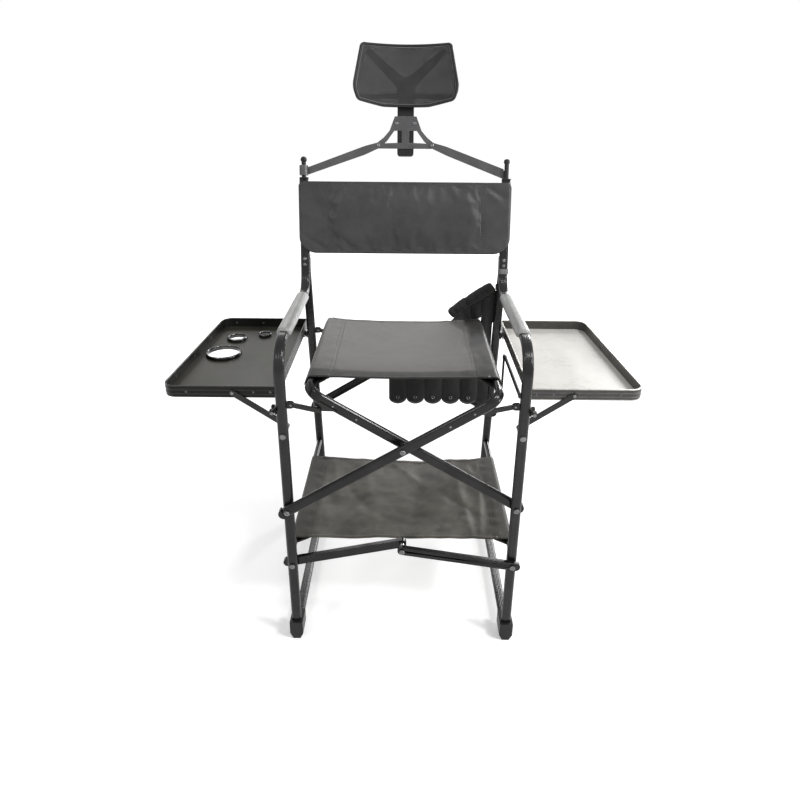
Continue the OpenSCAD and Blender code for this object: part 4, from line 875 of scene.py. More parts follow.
def even(line, step):
    """The same line with points every step or so."""
    result = [line[0]]
    for a, b in zip(line, line[1:]):
        count = max(1, round(math.dist(a, b) / step))
        result += [tuple(p + (q - p) * i / count for p, q in zip(a, b)) for i in range(1, count + 1)]
    return result


def dome(x, edge, power):
    """1 in the middle, 0 at the edge; a high power keeps the middle flat."""
    return max(0.0, 1 - (abs(x) / edge) ** power)


def folds(x, y, marks):
    """Height of marked folds; each mark is (x0, y0, x1, y1, height, width)."""
    total = 0.0
    for x0, y0, x1, y1, height, width in marks:
        dx, dy = x1 - x0, y1 - y0
        t = ((x - x0) * dx + (y - y0) * dy) / (dx * dx + dy * dy)
        if -0.2 < t < 1.2:
            off = abs((x - x0) * dy - (y - y0) * dx) / math.hypot(dx, dy)
            fade = min(1, (t + 0.2) / 0.4, (1.2 - t) / 0.4)
            total += height * fade * math.exp(-(off / width) ** 1.6)
    return total


def ripple(x, y, size, seed):
    """Soft unevenness of a given size in millimetres, the same at every run."""
    return noise.noise(Vector((x / size, y / size, seed)))


print("a 60 mm quarter arc in 5 mm steps has", len(even(arc(0, 0, 60, 0, 90, 4), 5)), "points")

# %% Stitches and hems
STITCH, STITCH_GAP, THREAD_R = 2.8, 1.6, 0.55
STITCH_RINGS = ((-0.5, 0.35), (-0.36, 0.9), (0.36, 0.9), (0.5, 0.35))


def stitch_row(points, normal):
    """Capsules laid end to end along a line of points, standing half out of the cloth."""
    shapes, run = [], 0.0
    normal = Vector(normal).normalized()
    for a, b in zip(points, points[1:]):
        a, b = Vector(a), Vector(b)
        d = (b - a).length
        if d < 1e-6:
            continue
        along = (b - a) / d
        beside = normal.cross(along).normalized()
        while run < d:
            middle = a + along * run + normal * (THREAD_R * 0.3)
            rings = []
            for t, r in STITCH_RINGS:
                rings.append([middle + along * (t * STITCH) + THREAD_R * r
                              * (math.cos(q) * normal + math.sin(q) * beside)
                              for q in (i * math.pi / 3 for i in range(6))])
            shapes.append(loft(rings))
            run += STITCH + STITCH_GAP
        run -= d
    return shapes


def welt(path, half_wide, half_high, wide_dir=(0, 1, 0), count=12):
    """A soft rounded band along a path of points, as a rolled hem is."""
    rings = []
    for i, p in enumerate(path):
        a, b = Vector(path[max(i - 1, 0)]), Vector(path[min(i + 1, len(path) - 1)])
        along = (b - a).normalized()
        wide = (Vector(wide_dir) - along * along.dot(Vector(wide_dir))).normalized()
        high = along.cross(wide)
        rings.append([Vector(p) + wide * (half_wide * squarish(math.cos(q), 0.7))
                      + high * (half_high * math.sin(q)) for q in full_turn(count)])
    return loft(rings)


print("stitches in 100 mm:", len(stitch_row([(0, 0, 0), (100, 0, 0)], (0, 0, 1))))

# %% [markdown]
# ## Seat
# The seat is one piece of coated cloth, slung between the two rails. Each side is turned round
# its rail as a sleeve and sewn down about 45 mm in, so the sleeves are double and stand a little
# proud. It pulls down between the rails, and near the right sleeve it shows a few slanting folds
# from the strain. It rides on its own small body.

# %% Line of the seat cloth
focus = ((BAR_H - BAR_T) / 2 * math.sin(SCISSOR), (BAR_H - BAR_T) / 2 * math.cos(SCISSOR))
sleeve_r = BAR_T / 2 + 0.4 + CLOTH / 2
seat_top, seat_edge = RAIL_H + focus[1] + sleeve_r, RAIL_X - focus[0]
seat_front, seat_rear, seat_seam = -219.0, 194.0, 172.0
tilt_deg = math.degrees(SCISSOR)


def seat_h(x):
    """Height of the seat's cloth across the chair; it hangs 6 mm in the middle."""
    return seat_top - 6.0 * dome(x, seat_edge, 2)


seat_wrap = ([(-seat_seam, seat_h(seat_seam) - CLOTH - 0.4)]
             + arc(-RAIL_X - focus[0], RAIL_H - focus[1], sleeve_r, -65, -180 - tilt_deg, 16)
             + arc(-RAIL_X + focus[0], RAIL_H + focus[1], sleeve_r, 180 - tilt_deg, 92, 8))
seat_line = even(seat_wrap + [(x, seat_h(x)) for x in range(-205, 206, 5)] + mirrored(seat_wrap), 4)
print("seat line", len(seat_line), "points")

# %% Seat cloth
SEAT_FOLDS = [(162, 80, 108, -150, 2.6, 13), (120, 185, 160, 95, 2.4, 9), (150, 190, 176, 120, 2.0, 8),
              (168, 20, 196, -120, -1.8, 10), (185, 150, 176, 60, 1.6, 7), (178, -60, 150, -190, 1.8, 10),
              (-168, -120, -150, -205, 1.2, 9), (-180, 60, -186, -80, 0.9, 10)]


def on_seat(p, v, share=0.5):
    """Sag, doubled cloth, seam dents, soft unevenness and folds of the seat."""
    x, z = p
    bow = 7 * dome(x, seat_edge, 4)
    y = seat_front + bow + v * (seat_rear - seat_front - 2 * bow)
    top = 1.0 if z > RAIL_H + 4 or abs(x) < seat_seam - 2 and share > 0.1 and share < 0.9 else 0.0
    pull = -5 * math.sin(math.pi * v) * dome(x, seat_edge, 2)
    doubled = 0.7 / (1 + math.exp(-(abs(x) - seat_seam) / 1.2)) * top
    seam = -1.1 * math.exp(-((abs(x) - seat_seam + 3) / 1.6) ** 2) * top
    soft = (0.9 * ripple(x, y, 70, 1) + 0.35 * ripple(x, y, 22, 2)) * top
    tight = 0.5 * math.sin(y / 9 + 2 * ripple(x, y, 40, 3)) * top
    tight *= math.exp(-((abs(x) - 178) / 12) ** 2)
    return (x, y, z + pull + doubled + seam + soft + tight + folds(x, y, SEAT_FOLDS) * top)


seat = strip("seat_sling", seat_line, 84, on_seat, "seat", SEAT_FINISH, "seat_cloth")
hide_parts("seat_canvas")
gathers(seat)
print("seat cloth", len(seat.data.polygons), "faces")

# %% Seat hems and stitches
hems = []
for v in (0.012, 0.988):
    hems.append(welt([on_seat((x, seat_h(x)), v) for x in range(-200, 201, 5)], 5.5, 2.1))
seat_hem = piece("seat_hems", together(hems), "seat", SEAT_FINISH, "seat_cloth")
rows = []
for x in (-seat_seam - 3, -seat_seam + 6, seat_seam - 6, seat_seam + 3):
    line = [Vector(on_seat((x, seat_h(x)), v / 60)) + Vector((0, 0, CLOTH / 2)) for v in range(1, 60)]
    rows += stitch_row(line, (0, 0, 1))
seat_thread = piece("seat_stitches", together(rows), "seat", THREAD_FINISH, "seat_cloth")
for made in (seat_hem, seat_thread):
    gathers(made)
print("seat stitches", len(rows))

# %% [markdown]
# ## Back
# The back has two layers of work. A band of cloth makes a sleeve round each post, and a padded
# panel is sewn on its middle. The band is a strip like the seat. The panel is a real pillow: a
# flat closed bag whose seam is pinned, with cloth a little longer than the space it has, and air
# pressure inside. The Cloth modifier swells it and throws small puckers along the seam. How far a
# point may move is capped, the result is written into the mesh, and the modifier is taken off.

# %% Line of the back band
back_low, back_len, back_seam = 102.0, 190.0, 209.0
post_focus, post_sleeve = (TUBE_W - TUBE_T) / 2, TUBE_T / 2 + 0.4 + CLOTH / 2
back_wrap = ([(-225.0, -post_sleeve + CLOTH + 0.4), (-250.0, -post_sleeve + CLOTH + 0.4)]
             + arc(-LEG_X + post_focus, 0, post_sleeve, 45, 90, 5)
             + arc(-LEG_X - post_focus, 0, post_sleeve, 90, 270, 18))
back_line = even(back_wrap + [(x, -post_sleeve) for x in range(-258, 259, 6)]
                 + mirrored(back_wrap), 5)
print("back line", len(back_line), "points")


# %% Back band
def corner_cut(x, r):
    """How much a rounded corner of radius r takes off the band's height at x."""
    d = max(0.0, abs(x) - (LEG_X + TUBE_W / 2 + 2 - r))
    return r - math.sqrt(max(0.0, r * r - d * d))


BACK_FOLDS = [(-282, 158, -212, 112, -2.4, 8), (-270, 150, -214, 128, 1.6, 6),
              (-276, 210, -226, 190, 1.2, 9), (216, 284, 268, 252, -2.2, 7), (220, 270, 262, 236, 1.5, 7),
              (276, 190, 224, 150, 1.2, 10), (-240, 285, -216, 240, 1.0, 8), (230, 130, 262, 112, 1.4, 7)]


def on_back(p, v, share):
    """The band in the leaning frame, with rounded corners and its folds on the front."""
    x, y = p
    low, top = corner_cut(x, 48), corner_cut(x, 16)
    s = back_low + low + (1 - v) * (back_len - low - top)
    front = 1.0 if y < -post_sleeve + 1 else 0.25
    soft = 0.9 * ripple(x, s, 45, 5) + 0.3 * ripple(x, s, 14, 6)
    return lean(x, y - (soft + folds(x, s, BACK_FOLDS)) * front, s)


band = strip("back_band", back_line, 44, on_back, "left_frame", BACK_FINISH, "seat_cloth")
gathers(band)
print("back band", len(band.data.polygons), "faces")


# %% Settling by cloth simulation
def settle(target, pinned, pressure, slack, cap_mm, frames=20):
    """Inflates a closed cloth piece with its seam held; writes the result into its mesh."""
    group = target.vertex_groups.new(name="seam")
    group.add(pinned, 1.0, "REPLACE")
    start = [v.co.copy() for v in target.data.vertices]
    cloth = target.modifiers.new("settle", "CLOTH")
    values = cloth.settings
    values.quality, values.mass = 6, 0.2
    values.tension_stiffness = values.compression_stiffness = values.shear_stiffness = 12
    values.bending_stiffness = 0.4
    values.vertex_group_mass = "seam"
    values.use_pressure, values.uniform_pressure_force = True, pressure
    values.shrink_min = -slack
    values.effector_weights.gravity = 0
    cloth.collision_settings.use_collision = False
    cloth.point_cache.frame_end = frames
    scene = bpy.context.scene
    for f in range(1, frames + 1):
        scene.frame_set(f)
    ready = target.evaluated_get(bpy.context.evaluated_depsgraph_get()).data
    moved = [v.co.copy() for v in ready.vertices]
    target.modifiers.remove(cloth)
    scene.frame_set(1)
    furthest = 0.0
    for v, a, b in zip(target.data.vertices, start, moved):
        step = b - a
        furthest = max(furthest, step.length)
        if step.length > cap_mm * MM:
            step *= cap_mm * MM / step.length
        v.co = a + step
    print(target.name, "moved up to", round(furthest / MM, 1), "mm, cap", cap_mm)


def smoothed(target):
    """One subdivision, for pads whose faces are few."""
    smoother = target.modifiers.new("smooth", "SUBSURF")
    smoother.levels = smoother.render_levels = 1


print("pads will settle")


# %% Back panel
def pillow(half_x, s_low, s_high, step, bulge):
    """A flat closed bag in the leaning frame, with the numbers of its seam's points."""
    nx, ns = round(2 * half_x / step), round((s_high - s_low) / step)
    points, number, seam = [], {}, []
    for face in (-1, 1):
        for j in range(ns + 1):
            for i in range(nx + 1):
                edge = i in (0, nx) or j in (0, ns)
                if edge and face == 1:
                    number[face, i, j] = number[-1, i, j]
                    continue
                u, w = 2 * i / nx - 1, 2 * j / ns - 1
                cut = 5.0 * (abs(u) ** 40) * (abs(w) ** 12)
                rise = bulge[face] * (dome(u, 1, 6) * dome(w, 1, 4)) ** 0.5
                number[face, i, j] = len(points)
                if edge:
                    seam.append(len(points))
                points.append(lean(u * (half_x - cut), -post_sleeve + face * rise,
                                   s_low + (s_high - s_low) * (w + 1) / 2 - w * cut))
    faces = [tuple(number[face, a, b] for a, b in ((i, j), (i + 1, j), (i + 1, j + 1), (i, j + 1)))
             for face in (-1, 1) for i in range(nx) for j in range(ns)]
    return (points, faces), seam


bag, seam = pillow(back_seam, back_low + 5, back_low + back_len - 4, 5.2, {-1: 3.4, 1: 2.2})
panel = piece("back_panel", bag, "left_frame", BACK_FINISH, "seat_cloth")
settle(panel, seam, pressure=1.2, slack=0.013, cap_mm=6.0)
smoothed(panel)
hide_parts("back_canvas")
gathers(panel)
print("back panel", len(panel.data.polygons), "faces")

# %% Back stitches
corner = [(-1, -1), (1, -1), (1, 1), (-1, 1), (-1, -1)]
rows = []
for grow in (3.5, 9.0):
    outline = [lean(u * (back_seam + grow), -post_sleeve - CLOTH / 2 - 0.3,
                    back_low + back_len / 2 + w * (back_len / 2 - 5 + min(grow, 3.0)))
               for u, w in corner]
    legs = ((0, 1), (1, 2), (2, 3), (3, 0)) if grow < 5 else ((1, 2), (3, 0))
    for a, b in legs:
        rows += stitch_row([outline[a], outline[b]], lean_front)
back_thread = piece("back_stitches", together(rows), "left_frame", THREAD_FINISH, "seat_cloth")
gathers(back_thread)
print("back stitches", len(rows))

# %% [markdown]
# ## Shelf
# The shelf near the floor is thinner cloth with sleeves over two tubes, one between the legs of
# each side. It isn't stretched flat: it sags a little and keeps the creases of being folded up
# with the chair. So it is a strip like the seat, with more and wider folds marked on it.

# %% Line of the shelf cloth
shelf_h, shelf_front, shelf_rear = 268.0, -236.0, 155.0
shelf_sleeve = 8 + 0.4 + CLOTH / 2


def shelf_line_h(x):
    """Height of the shelf's cloth across the chair, before its folds."""
    return shelf_h + shelf_sleeve - 9 * dome(x, LEG_X, 2)


shelf_wrap = [(-236, shelf_line_h(236) - CLOTH - 0.4)] + arc(-LEG_X, shelf_h, shelf_sleeve, -65, -268, 20)
shelf_line = even(shelf_wrap + [(x, shelf_line_h(x)) for x in range(-250, 251, 5)]
                  + mirrored(shelf_wrap), 5)
print("shelf line", len(shelf_line), "points")

# %% Shelf cloth
SHELF_FOLDS = [(-120, 150, -60, -230, 4.5, 22), (60, 150, 20, -230, -4.5, 26), (150, 140, 180, -220, 4.0, 15),
               (-210, 140, -180, -60, 3.5, 14), (205, 150, 226, -40, -4.0, 10), (228, 60, 204, -200, 4.0, 9),
               (-230, -20, -190, -200, 3.5, 13), (-40, 140, 60, 20, 3.0, 14), (110, -20, 190, -120, -3.0, 13),
               (-170, 30, -90, -110, -3.0, 14), (235, 140, 212, 60, 3.5, 7), (190, 100, 236, 20, 3.0, 9)]


def on_shelf(p, v, share=0.5):
    """Sag, soft unevenness and folds of the shelf, and small pleats beside its sleeves."""
    x, z = p
    bow = 10 * dome(x, LEG_X, 2)
    y = shelf_front + bow + v * (shelf_rear - shelf_front - 2 * bow)
    free = dome(x, 250, 10)
    top = 1.0 if z > shelf_h - 3 and 0.06 < share < 0.94 else 0.0
    soft = 2.6 * ripple(x, y, 85, 11) + 1.1 * ripple(x, y, 30, 12) - 5 * math.sin(math.pi * v)
    cuff = 0.9 * math.sin(y / 7 + 3 * ripple(x, y, 50, 13)) * math.exp(-((abs(x) - 244) / 14) ** 2)
    return (x, y, z + top * (free * (soft + folds(x, y, SHELF_FOLDS)) + cuff))


shelf = strip("shelf_sling", shelf_line, 80, on_shelf, "left_frame", SHELF_FINISH, "shelf_cloth", 1.6)
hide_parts("shelf_canvas")
gathers(shelf)
print("shelf cloth", len(shelf.data.polygons), "faces")

# %% Shelf hems and stitches
hems = [welt([on_shelf((x, shelf_line_h(x)), v) for x in range(-245, 246, 5)], 6.0, 1.7)
        for v in (0.015, 0.985)]
shelf_hem = piece("shelf_hems", together(hems), "left_frame", SHELF_FINISH, "shelf_cloth")
rows = []
for x in (-238, 238):
    line = [Vector(on_shelf((x, shelf_line_h(x)), v / 50)) + Vector((0, 0, 0.9)) for v in range(1, 50)]
    rows += stitch_row(line, (0, 0, 1))
shelf_thread = piece("shelf_stitches", together(rows), "left_frame", THREAD_FINISH, "shelf_cloth")
for made in (shelf_hem, shelf_thread):
    gathers(made)
print("shelf stitches", len(rows))

# %% [markdown]
# ## Pouch and roll
# Behind the seat hangs a pouch: a row of five narrow pockets with round bottoms, each with a
# metal eyelet, under a padded roll that slopes up to the right rear leg. The pockets are one closed
# shell, lofted from upright sections that bulge in the middle of each pocket. The roll is a lofted
# pad that swells between its ties. Between the rail and the leg the cloth hangs from the roll as
# two thin sheets, which are strips like the seat, and a strap holds the roll to the leg.

# %% Line of the roll and edge of the pouch
pouch_y, pouch_left, pocket, pockets, pouch_low = 208.0, -44.0, 54.0, 5, 434.0
ROLL_R, ROLL_SLOPE, ROLL_FROM, RAIL_STEP_H, POUCH_HANG = 14, 0.72, 130, 676, 260.0


def roll_h(x):
    """Height of the roll's middle line: a slope that drops a little more at its left end."""
    return 729 + ROLL_SLOPE * (x - ROLL_FROM) - 10 * math.exp(-(x - ROLL_FROM) / 30)


def pouch_top(x):
    """Its upper edge follows the roll, then steps down beside the seat rail."""
    slope = ROLL_SLOPE + math.exp(-(x - ROLL_FROM) / 30) / 3
    follow = max(698.0, roll_h(x) - ROLL_R * math.hypot(1, slope) - 1)
    return follow + (RAIL_STEP_H - follow) * min(1.0, max(0.0, (x - 190) / 9))


print("the roll climbs from", round(roll_h(135)), "to", round(roll_h(254)))


# %% Pouch body
def bulge_at(x):
    """0 on the seams between pockets, 1 in the middle of each."""
    return abs(math.sin(math.pi * (x - pouch_left) / pocket)) ** 0.55


def pouch_section(x, count=26):
    """Front and back of the pouch at x, as one upright ring."""
    b = bulge_at(x)
    low = pouch_low + 18 * (1 - b)
    high = pouch_top(x)
    front, behind = [], []
    for i in range(count + 1):
        v = i / count
        z = low + (1 - v) * (high - low)
        full = b * math.sin(math.pi * min(1.0, 0.1 + 0.98 * v) * 0.88) ** 0.7
        crease = 0.7 * ripple(x, z, 24, 21) * b
        mouth = 1.6 * math.exp(-((z - 636) / 3.0) ** 2)
        round_end = round_off((1 - v) / 0.07)
        front.append((x, pouch_y - (1.5 + 7.5 * full + crease + mouth) * round_end, z))
        behind.append((x, pouch_y + (1.5 + 3.0 * full) * round_end, z))
    return front + behind[::-1][1:-1] + [behind[0]]


stations = 24 * pockets
pouch = piece("pouch_shell", loft([pouch_section(pouch_left + i * 2.25) for i in range(stations + 1)]),
              "right_frame", POUCH_FINISH, "pouch_cloth")
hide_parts("pouch_body")
print("pouch", len(pouch.data.polygons), "faces")

# %% Eyelets and seams of the pockets
EYELET_R, EYELET_HALF, EYELET_THICK, EYELET_UP = 4.4, 1.3, 0.9, 26


def eyelet(x):
    """A flat metal ring in the bottom of the pocket at x."""
    rings = []
    for a in full_turn(24):
        ring = []
        for q in full_turn(8):
            r = EYELET_R + EYELET_HALF * math.cos(q)
            ring.append((x + r * math.cos(a), pouch_y - 8.2 + EYELET_THICK * math.sin(q),
                         pouch_low + EYELET_UP + r * math.sin(a)))
        rings.append(ring)
    return closed_band(rings)


eyelets, rows = [], []
for i in range(pockets):
    eyelets.append(eyelet(pouch_left + pocket * (i + 0.5)))
    if i:
        seam_x = pouch_left + pocket * i
        rows += stitch_row([(seam_x, pouch_y - 2.0, z) for z in (456, pouch_top(seam_x) - 8)], (0, -1, 0))
rims = piece("pouch_eyelets", together(eyelets), "right_frame", STEEL_FINISH, "bright_metal")
pouch_thread = piece("pouch_stitches", together(rows), "right_frame", THREAD_FINISH, "pouch_cloth")
for made in (pouch, rims, pouch_thread):
    gathers(made)
print("eyelets", len(eyelets), "stitches", len(rows))


# %% Padded roll
ROLL_DEEP, ROLL_POINTS, TIES = 10, 28, (168.0, 226.0)


def roll_y(x):
    """The roll's middle line runs straight, then comes forward to the leg."""
    return pouch_y + 1 - (0 if x < 170 else 21 * ((x - 170) / 84) ** 1.5)


def roll_ring(x, size):
    """One section of the roll, square to its slope."""
    ahead = math.atan2(roll_h(x + 1) - roll_h(x - 1), 2)
    return [(x - math.sin(ahead) * ROLL_R * size * math.cos(q), roll_y(x) + ROLL_DEEP * size * math.sin(q),
             roll_h(x) + math.cos(ahead) * ROLL_R * size * math.cos(q)) for q in full_turn(ROLL_POINTS)]


stops = [135, 137, 139.5] + list(range(142, 247, 3)) + [249, 252, 253.5]
held, rings = [], []
for i, x in enumerate(stops):
    end = min(x - stops[0], stops[-1] - x)
    size = 0.45 + 0.55 * round_off(end / 9)
    size *= 1.2 - 0.12 * max(math.exp(-((x - t) / 4.5) ** 2) for t in TIES)
    rings.append(roll_ring(x, size))
    if i in (0, len(stops) - 1) or min(abs(x - t) for t in TIES) < 4:
        held += list(range(i * ROLL_POINTS, (i + 1) * ROLL_POINTS))
roll_piece = piece("padded_roll", loft(rings), "right_frame", POUCH_FINISH, "pouch_cloth")
settle(roll_piece, held, pressure=1.0, slack=0.03, cap_mm=2.2)
smoothed(roll_piece)
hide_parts("pouch_roll")
bands = []
for t in TIES:
    around = [[Vector(p) for p in roll_ring(t + d, 1.1 + h)] for d, h in
              ((-4.5, 0), (-4.5, 0.07), (-3.6, 0.1), (3.6, 0.1), (4.5, 0.07), (4.5, 0))]
    bands.append(loft(around, caps=False))
ties = piece("roll_ties", together(bands), "right_frame", POUCH_FINISH, "pouch_cloth")
for made in (roll_piece, ties):
    gathers(made)
print("roll rings", len(rings))

# %% Cloth beside the leg
ROLL_UNDER, TUCK_FROM, TUCK_OVER, LEG_BACK = 15, 702, 12, 9.0


def fall(name, left, wide, low, rows, tuck=0):
    """A fall of cloth: upright, then forward to the roll; tuck 1 puts its edge behind the leg."""
    def at(point, across, share):
        x = left + wide * across
        high = roll_h(x) - ROLL_UNDER
        foot = low - min(9.0, 0.2 * (high - low)) * math.sin(math.pi * across)
        z = foot + share * (high - foot)
        to_roll = max(0.0, (z - RAIL_STEP_H) / (high - RAIL_STEP_H)) ** 1.3
        fold = 2.0 * math.sin(2 * math.pi * across + 0.6 + 2 * share) * math.sin(math.pi * share)
        y = pouch_y + (roll_y(x) - 1 - pouch_y) * to_roll + fold
        tucked = tuck * min(1.0, max(0.0, (z - TUCK_FROM) / TUCK_OVER))
        behind = max(0.0, rear_leg_y(z) + LEG_BACK - y)
        return (x + 7 * tucked * across ** 3, y + behind * tucked * across ** 2, z)

    cloth = strip(name, [(0.0, 10.0 * i) for i in range(rows)], 14, at, "right_frame", POUCH_FINISH,
                  "pouch_cloth", thick=2.0)
    gathers(cloth)


fall("pouch_flap", 225.0, 34.2, 446.0, 35, tuck=1)
fall("pouch_corner", 187.0, 42.0, 723.0, 9)
print("cloth beside the leg drawn")

# %% Strap round the rear leg
strap_z = roll_h(254)
strap_y = rear_leg_y(strap_z)


def strap_point(u, w, up):
    """Across the leg, through it and up it, at the strap's height."""
    return (LEG_X + u, strap_y + w * math.cos(REAR_LEAN) - up * math.sin(REAR_LEAN),
            strap_z + w * math.sin(REAR_LEAN) + up * math.cos(REAR_LEAN))


inside, outside = (ribbed_section(TUBE_W + more, TUBE_T + more, depth=0, count=64) for more in (0.6, 5))
STRAP_SECTION = ((0, -6.6), (0.75, -7), (1, -6), (0.86, -3), (1, 0), (0.86, 3), (1, 6), (0.75, 7), (0, 6.6))
wrap_rings = []
for (ax, ay), (bx, by) in zip(inside, outside):
    wrap_rings.append([strap_point(ax + (bx - ax) * t, ay + (by - ay) * t, up) for t, up in STRAP_SECTION])
tab_rings = []
for k in range(9):
    u = -14.1 + k * 0.42
    fat = 1.0 if 0 < k < 8 else 0.85
    tab_rings.append([strap_point(u, 7 + 2.6 * fat * math.cos(q), 6.6 * fat * math.sin(q))
                      for q in full_turn(20)])
strap_piece = piece("leg_strap", together([closed_band(wrap_rings), loft(tab_rings)]), "right_frame",
                    POUCH_FINISH, "pouch_cloth")
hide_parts("pouch_strap")
print("strap at height", round(strap_z))

# %% [markdown]
# ## Headrest
# A thin moulded rim, slightly curved round the head, holds the net. Its outline is wider in the
# middle than at the top and droops at the bottom. The outline is drawn flat with rounded corners,
# then bent round an upright cylinder. A rounded section carried along it makes the rim, a second,
# finer one makes the light bead that the photograph shows just inside it.

# %% Outline of the headrest
HEAD_R = 330.0
HEAD_CORNERS = [(118, 640, 12), (139, 530, 60), (127, 497, 16), (60, 484, 60), (-60, 484, 60),
                (-127, 497, 16), (-139, 530, 60), (-118, 640, 12)]


def rounded_outline(corners, steps=8, spacing=4.0):
    """Corner points (x, y, radius) joined by arcs, with even points between."""
    line, n = [], len(corners)
    for i, (x, y, r) in enumerate(corners):
        p = Vector((x, y))
        u = (Vector(corners[i - 1][:2]) - p).normalized()
        w = (Vector(corners[(i + 1) % n][:2]) - p).normalized()
        half = math.acos(max(-1, min(1, u.dot(w)))) / 2
        centre = p + (u + w).normalized() * r / math.sin(half)
        a, b = p + u * r / math.tan(half) - centre, p + w * r / math.tan(half) - centre
        line += [tuple(centre + r * (a * (1 - k / steps) + b * k / steps).normalized())
                 for k in range(steps + 1)]
    return even(line + [line[0]], spacing)[:-1]


def inward(line):
    """The direction into a closed outline at each of its points."""
    n, area = len(line), 0.0
    for i in range(n):
        area += line[i][0] * line[(i + 1) % n][1] - line[(i + 1) % n][0] * line[i][1]
    sign = 1 if area > 0 else -1
    result = []
    for i in range(n):
        d = (Vector(line[(i + 1) % n]) - Vector(line[i - 1])).normalized()
        result.append((-d.y * sign, d.x * sign))
    return result


head_line = rounded_outline(HEAD_CORNERS)
head_in = inward(head_line)
print("headrest outline", len(head_line), "points")


# %% Rim and bead
def on_head(x, s, off=0.0):
    """A point of the curved headrest; off runs from the head to the back."""
    grow = (HEAD_R + off) / HEAD_R
    return lean(x * grow, -HEAD_R + math.sqrt(HEAD_R ** 2 - x * x) * grow, s)


def rim_band(inset, half_wide, half_deep, off, power=0.65, count=16):
    """A band that follows the outline, inset from it; a low power makes it a rounded box."""
    rings = []
    for (x, s), (nx, ns) in zip(head_line, head_in):
        ring = []
        for q in full_turn(count):
            u = inset + half_wide * squarish(math.cos(q), power)
            d = off + half_deep * squarish(math.sin(q), power)
            ring.append(on_head(x + nx * u, s + ns * u, d))
        rings.append(ring)
    return closed_band(rings)


rim = piece("headrest_rim", rim_band(3.5, 3.5, 4.0, 0), "headrest", BLACK_FINISH, "black_plastic")
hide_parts("head_frame")
piece("headrest_bead", rim_band(7.6, 0.8, 0.8, -1.6, power=1.0, count=8), "headrest", GREY_FINISH,
      "grey_plastic")
print("rim", len(rim.data.polygons), "faces")

# %% Net panel
NET_INSET, NET_ROWS, NET_HALF_STEPS = 5.5, 36, 30
inset_line = [(x + nx * NET_INSET, s + ns * NET_INSET) for (x, s), (nx, ns) in zip(head_line, head_in)]


def half_width(s):
    """Half width of the net at a height, where the outline crosses it."""
    found = [0.0]
    for (x0, s0), (x1, s1) in zip(inset_line, inset_line[1:] + inset_line[:1]):
        if (s0 - s) * (s1 - s) <= 0 and s0 != s1:
            found.append(x0 + (x1 - x0) * (s - s0) / (s1 - s0))
    return max(found)


low, high = min(s for _, s in inset_line) + 0.2, max(s for _, s in inset_line) - 0.2
levels = [low + (high - low) * (1 - math.cos(math.pi * j / NET_ROWS)) / 2 for j in range(NET_ROWS + 1)]
steps = [math.sin(math.pi / 2 * (i / NET_HALF_STEPS - 1)) for i in range(2 * NET_HALF_STEPS + 1)]
rings = [[on_head(half_width(s) * across, s, -0.3) for across in steps] for s in levels]
net = piece("headrest_net", loft(rings, wrap=False), "headrest", NET_FINISH, "mesh_cloth")
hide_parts("head_mesh")
print("net rows", len(rings))

# %% [markdown]
# ## Holder rings
# The left tray carries three dark chrome rings for cups and tools. Each is turned: a rounded
# collar on top, and a neck that passes through the tray's floor. One closed outline is spun round
# the ring's centre.

# %% Rings
def turned_ring(cx, cy, outer, count=72):
    """A collar and neck spun round (cx, cy), from heights in millimetres over the ground."""
    r = outer / 2
    outline = [(r - 0.2, 671.3), (r, 672.5), (r - 0.1, 677.5), (r - 1.2, 679.4), (r - 2.7, 680.0),
               (r - 4.0, 679.2), (r - 4.9, 677.2), (r - 5.0, 669.0), (r - 4.6, 668.2), (r - 3.6, 668.0),
               (r - 3.1, 668.4), (r - 3.1, 671.0)]
    return closed_band([[(cx + q * math.cos(a), cy + q * math.sin(a), z) for q, z in outline]
                        for a in full_turn(count)])


large = piece("holder_ring_large", turned_ring(-482, 23, 94), "tray_l", RING_FINISH, "ring_metal")
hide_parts("ring_large")
small = piece("holder_rings_small", together([turned_ring(-474, 136, 56), turned_ring(-400, 166, 38)]),
              "tray_l", RING_FINISH, "ring_metal")
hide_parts("rings_small")
print("rings", len(large.data.polygons), len(small.data.polygons), "faces")

# %% [markdown]
# ## Tray rims
# The rim of each tray is a drawn band with two raised lines, a rolled top edge and a few rivets.
# They follow the tray's outline, so the same rounding helper as for the headrest draws them.

# %% Outline of a tray
TRAY_Z, TRAY_IN, TRAY_FRONT, TRAY_REAR = 669.0, 289.0, -233.0, 245.0
TRAY_FRONT_X, TRAY_REAR_X = 557.0, 538.0
tray_corners = [(TRAY_IN, TRAY_FRONT, 8), (TRAY_FRONT_X, TRAY_FRONT, 30), (TRAY_REAR_X, TRAY_REAR, 30),
                (TRAY_IN, TRAY_REAR, 8)]
tray_line = rounded_outline(tray_corners, spacing=8.0)
tray_in_dir = inward(tray_line)


def tray_band(side, inset, z, half_wide, half_high, count=10):
    """A round band along the tray's outline, inset from it, at height z."""
    rings = []
    for (x, y), (nx, ny) in zip(tray_line, tray_in_dir):
        rings.append([(side * (x + nx * (inset + half_wide * math.cos(q))),
                       y + ny * (inset + half_wide * math.cos(q)), z + half_high * math.sin(q))
                      for q in full_turn(count)])
    return closed_band(rings)


print("tray outline points", len(tray_line))

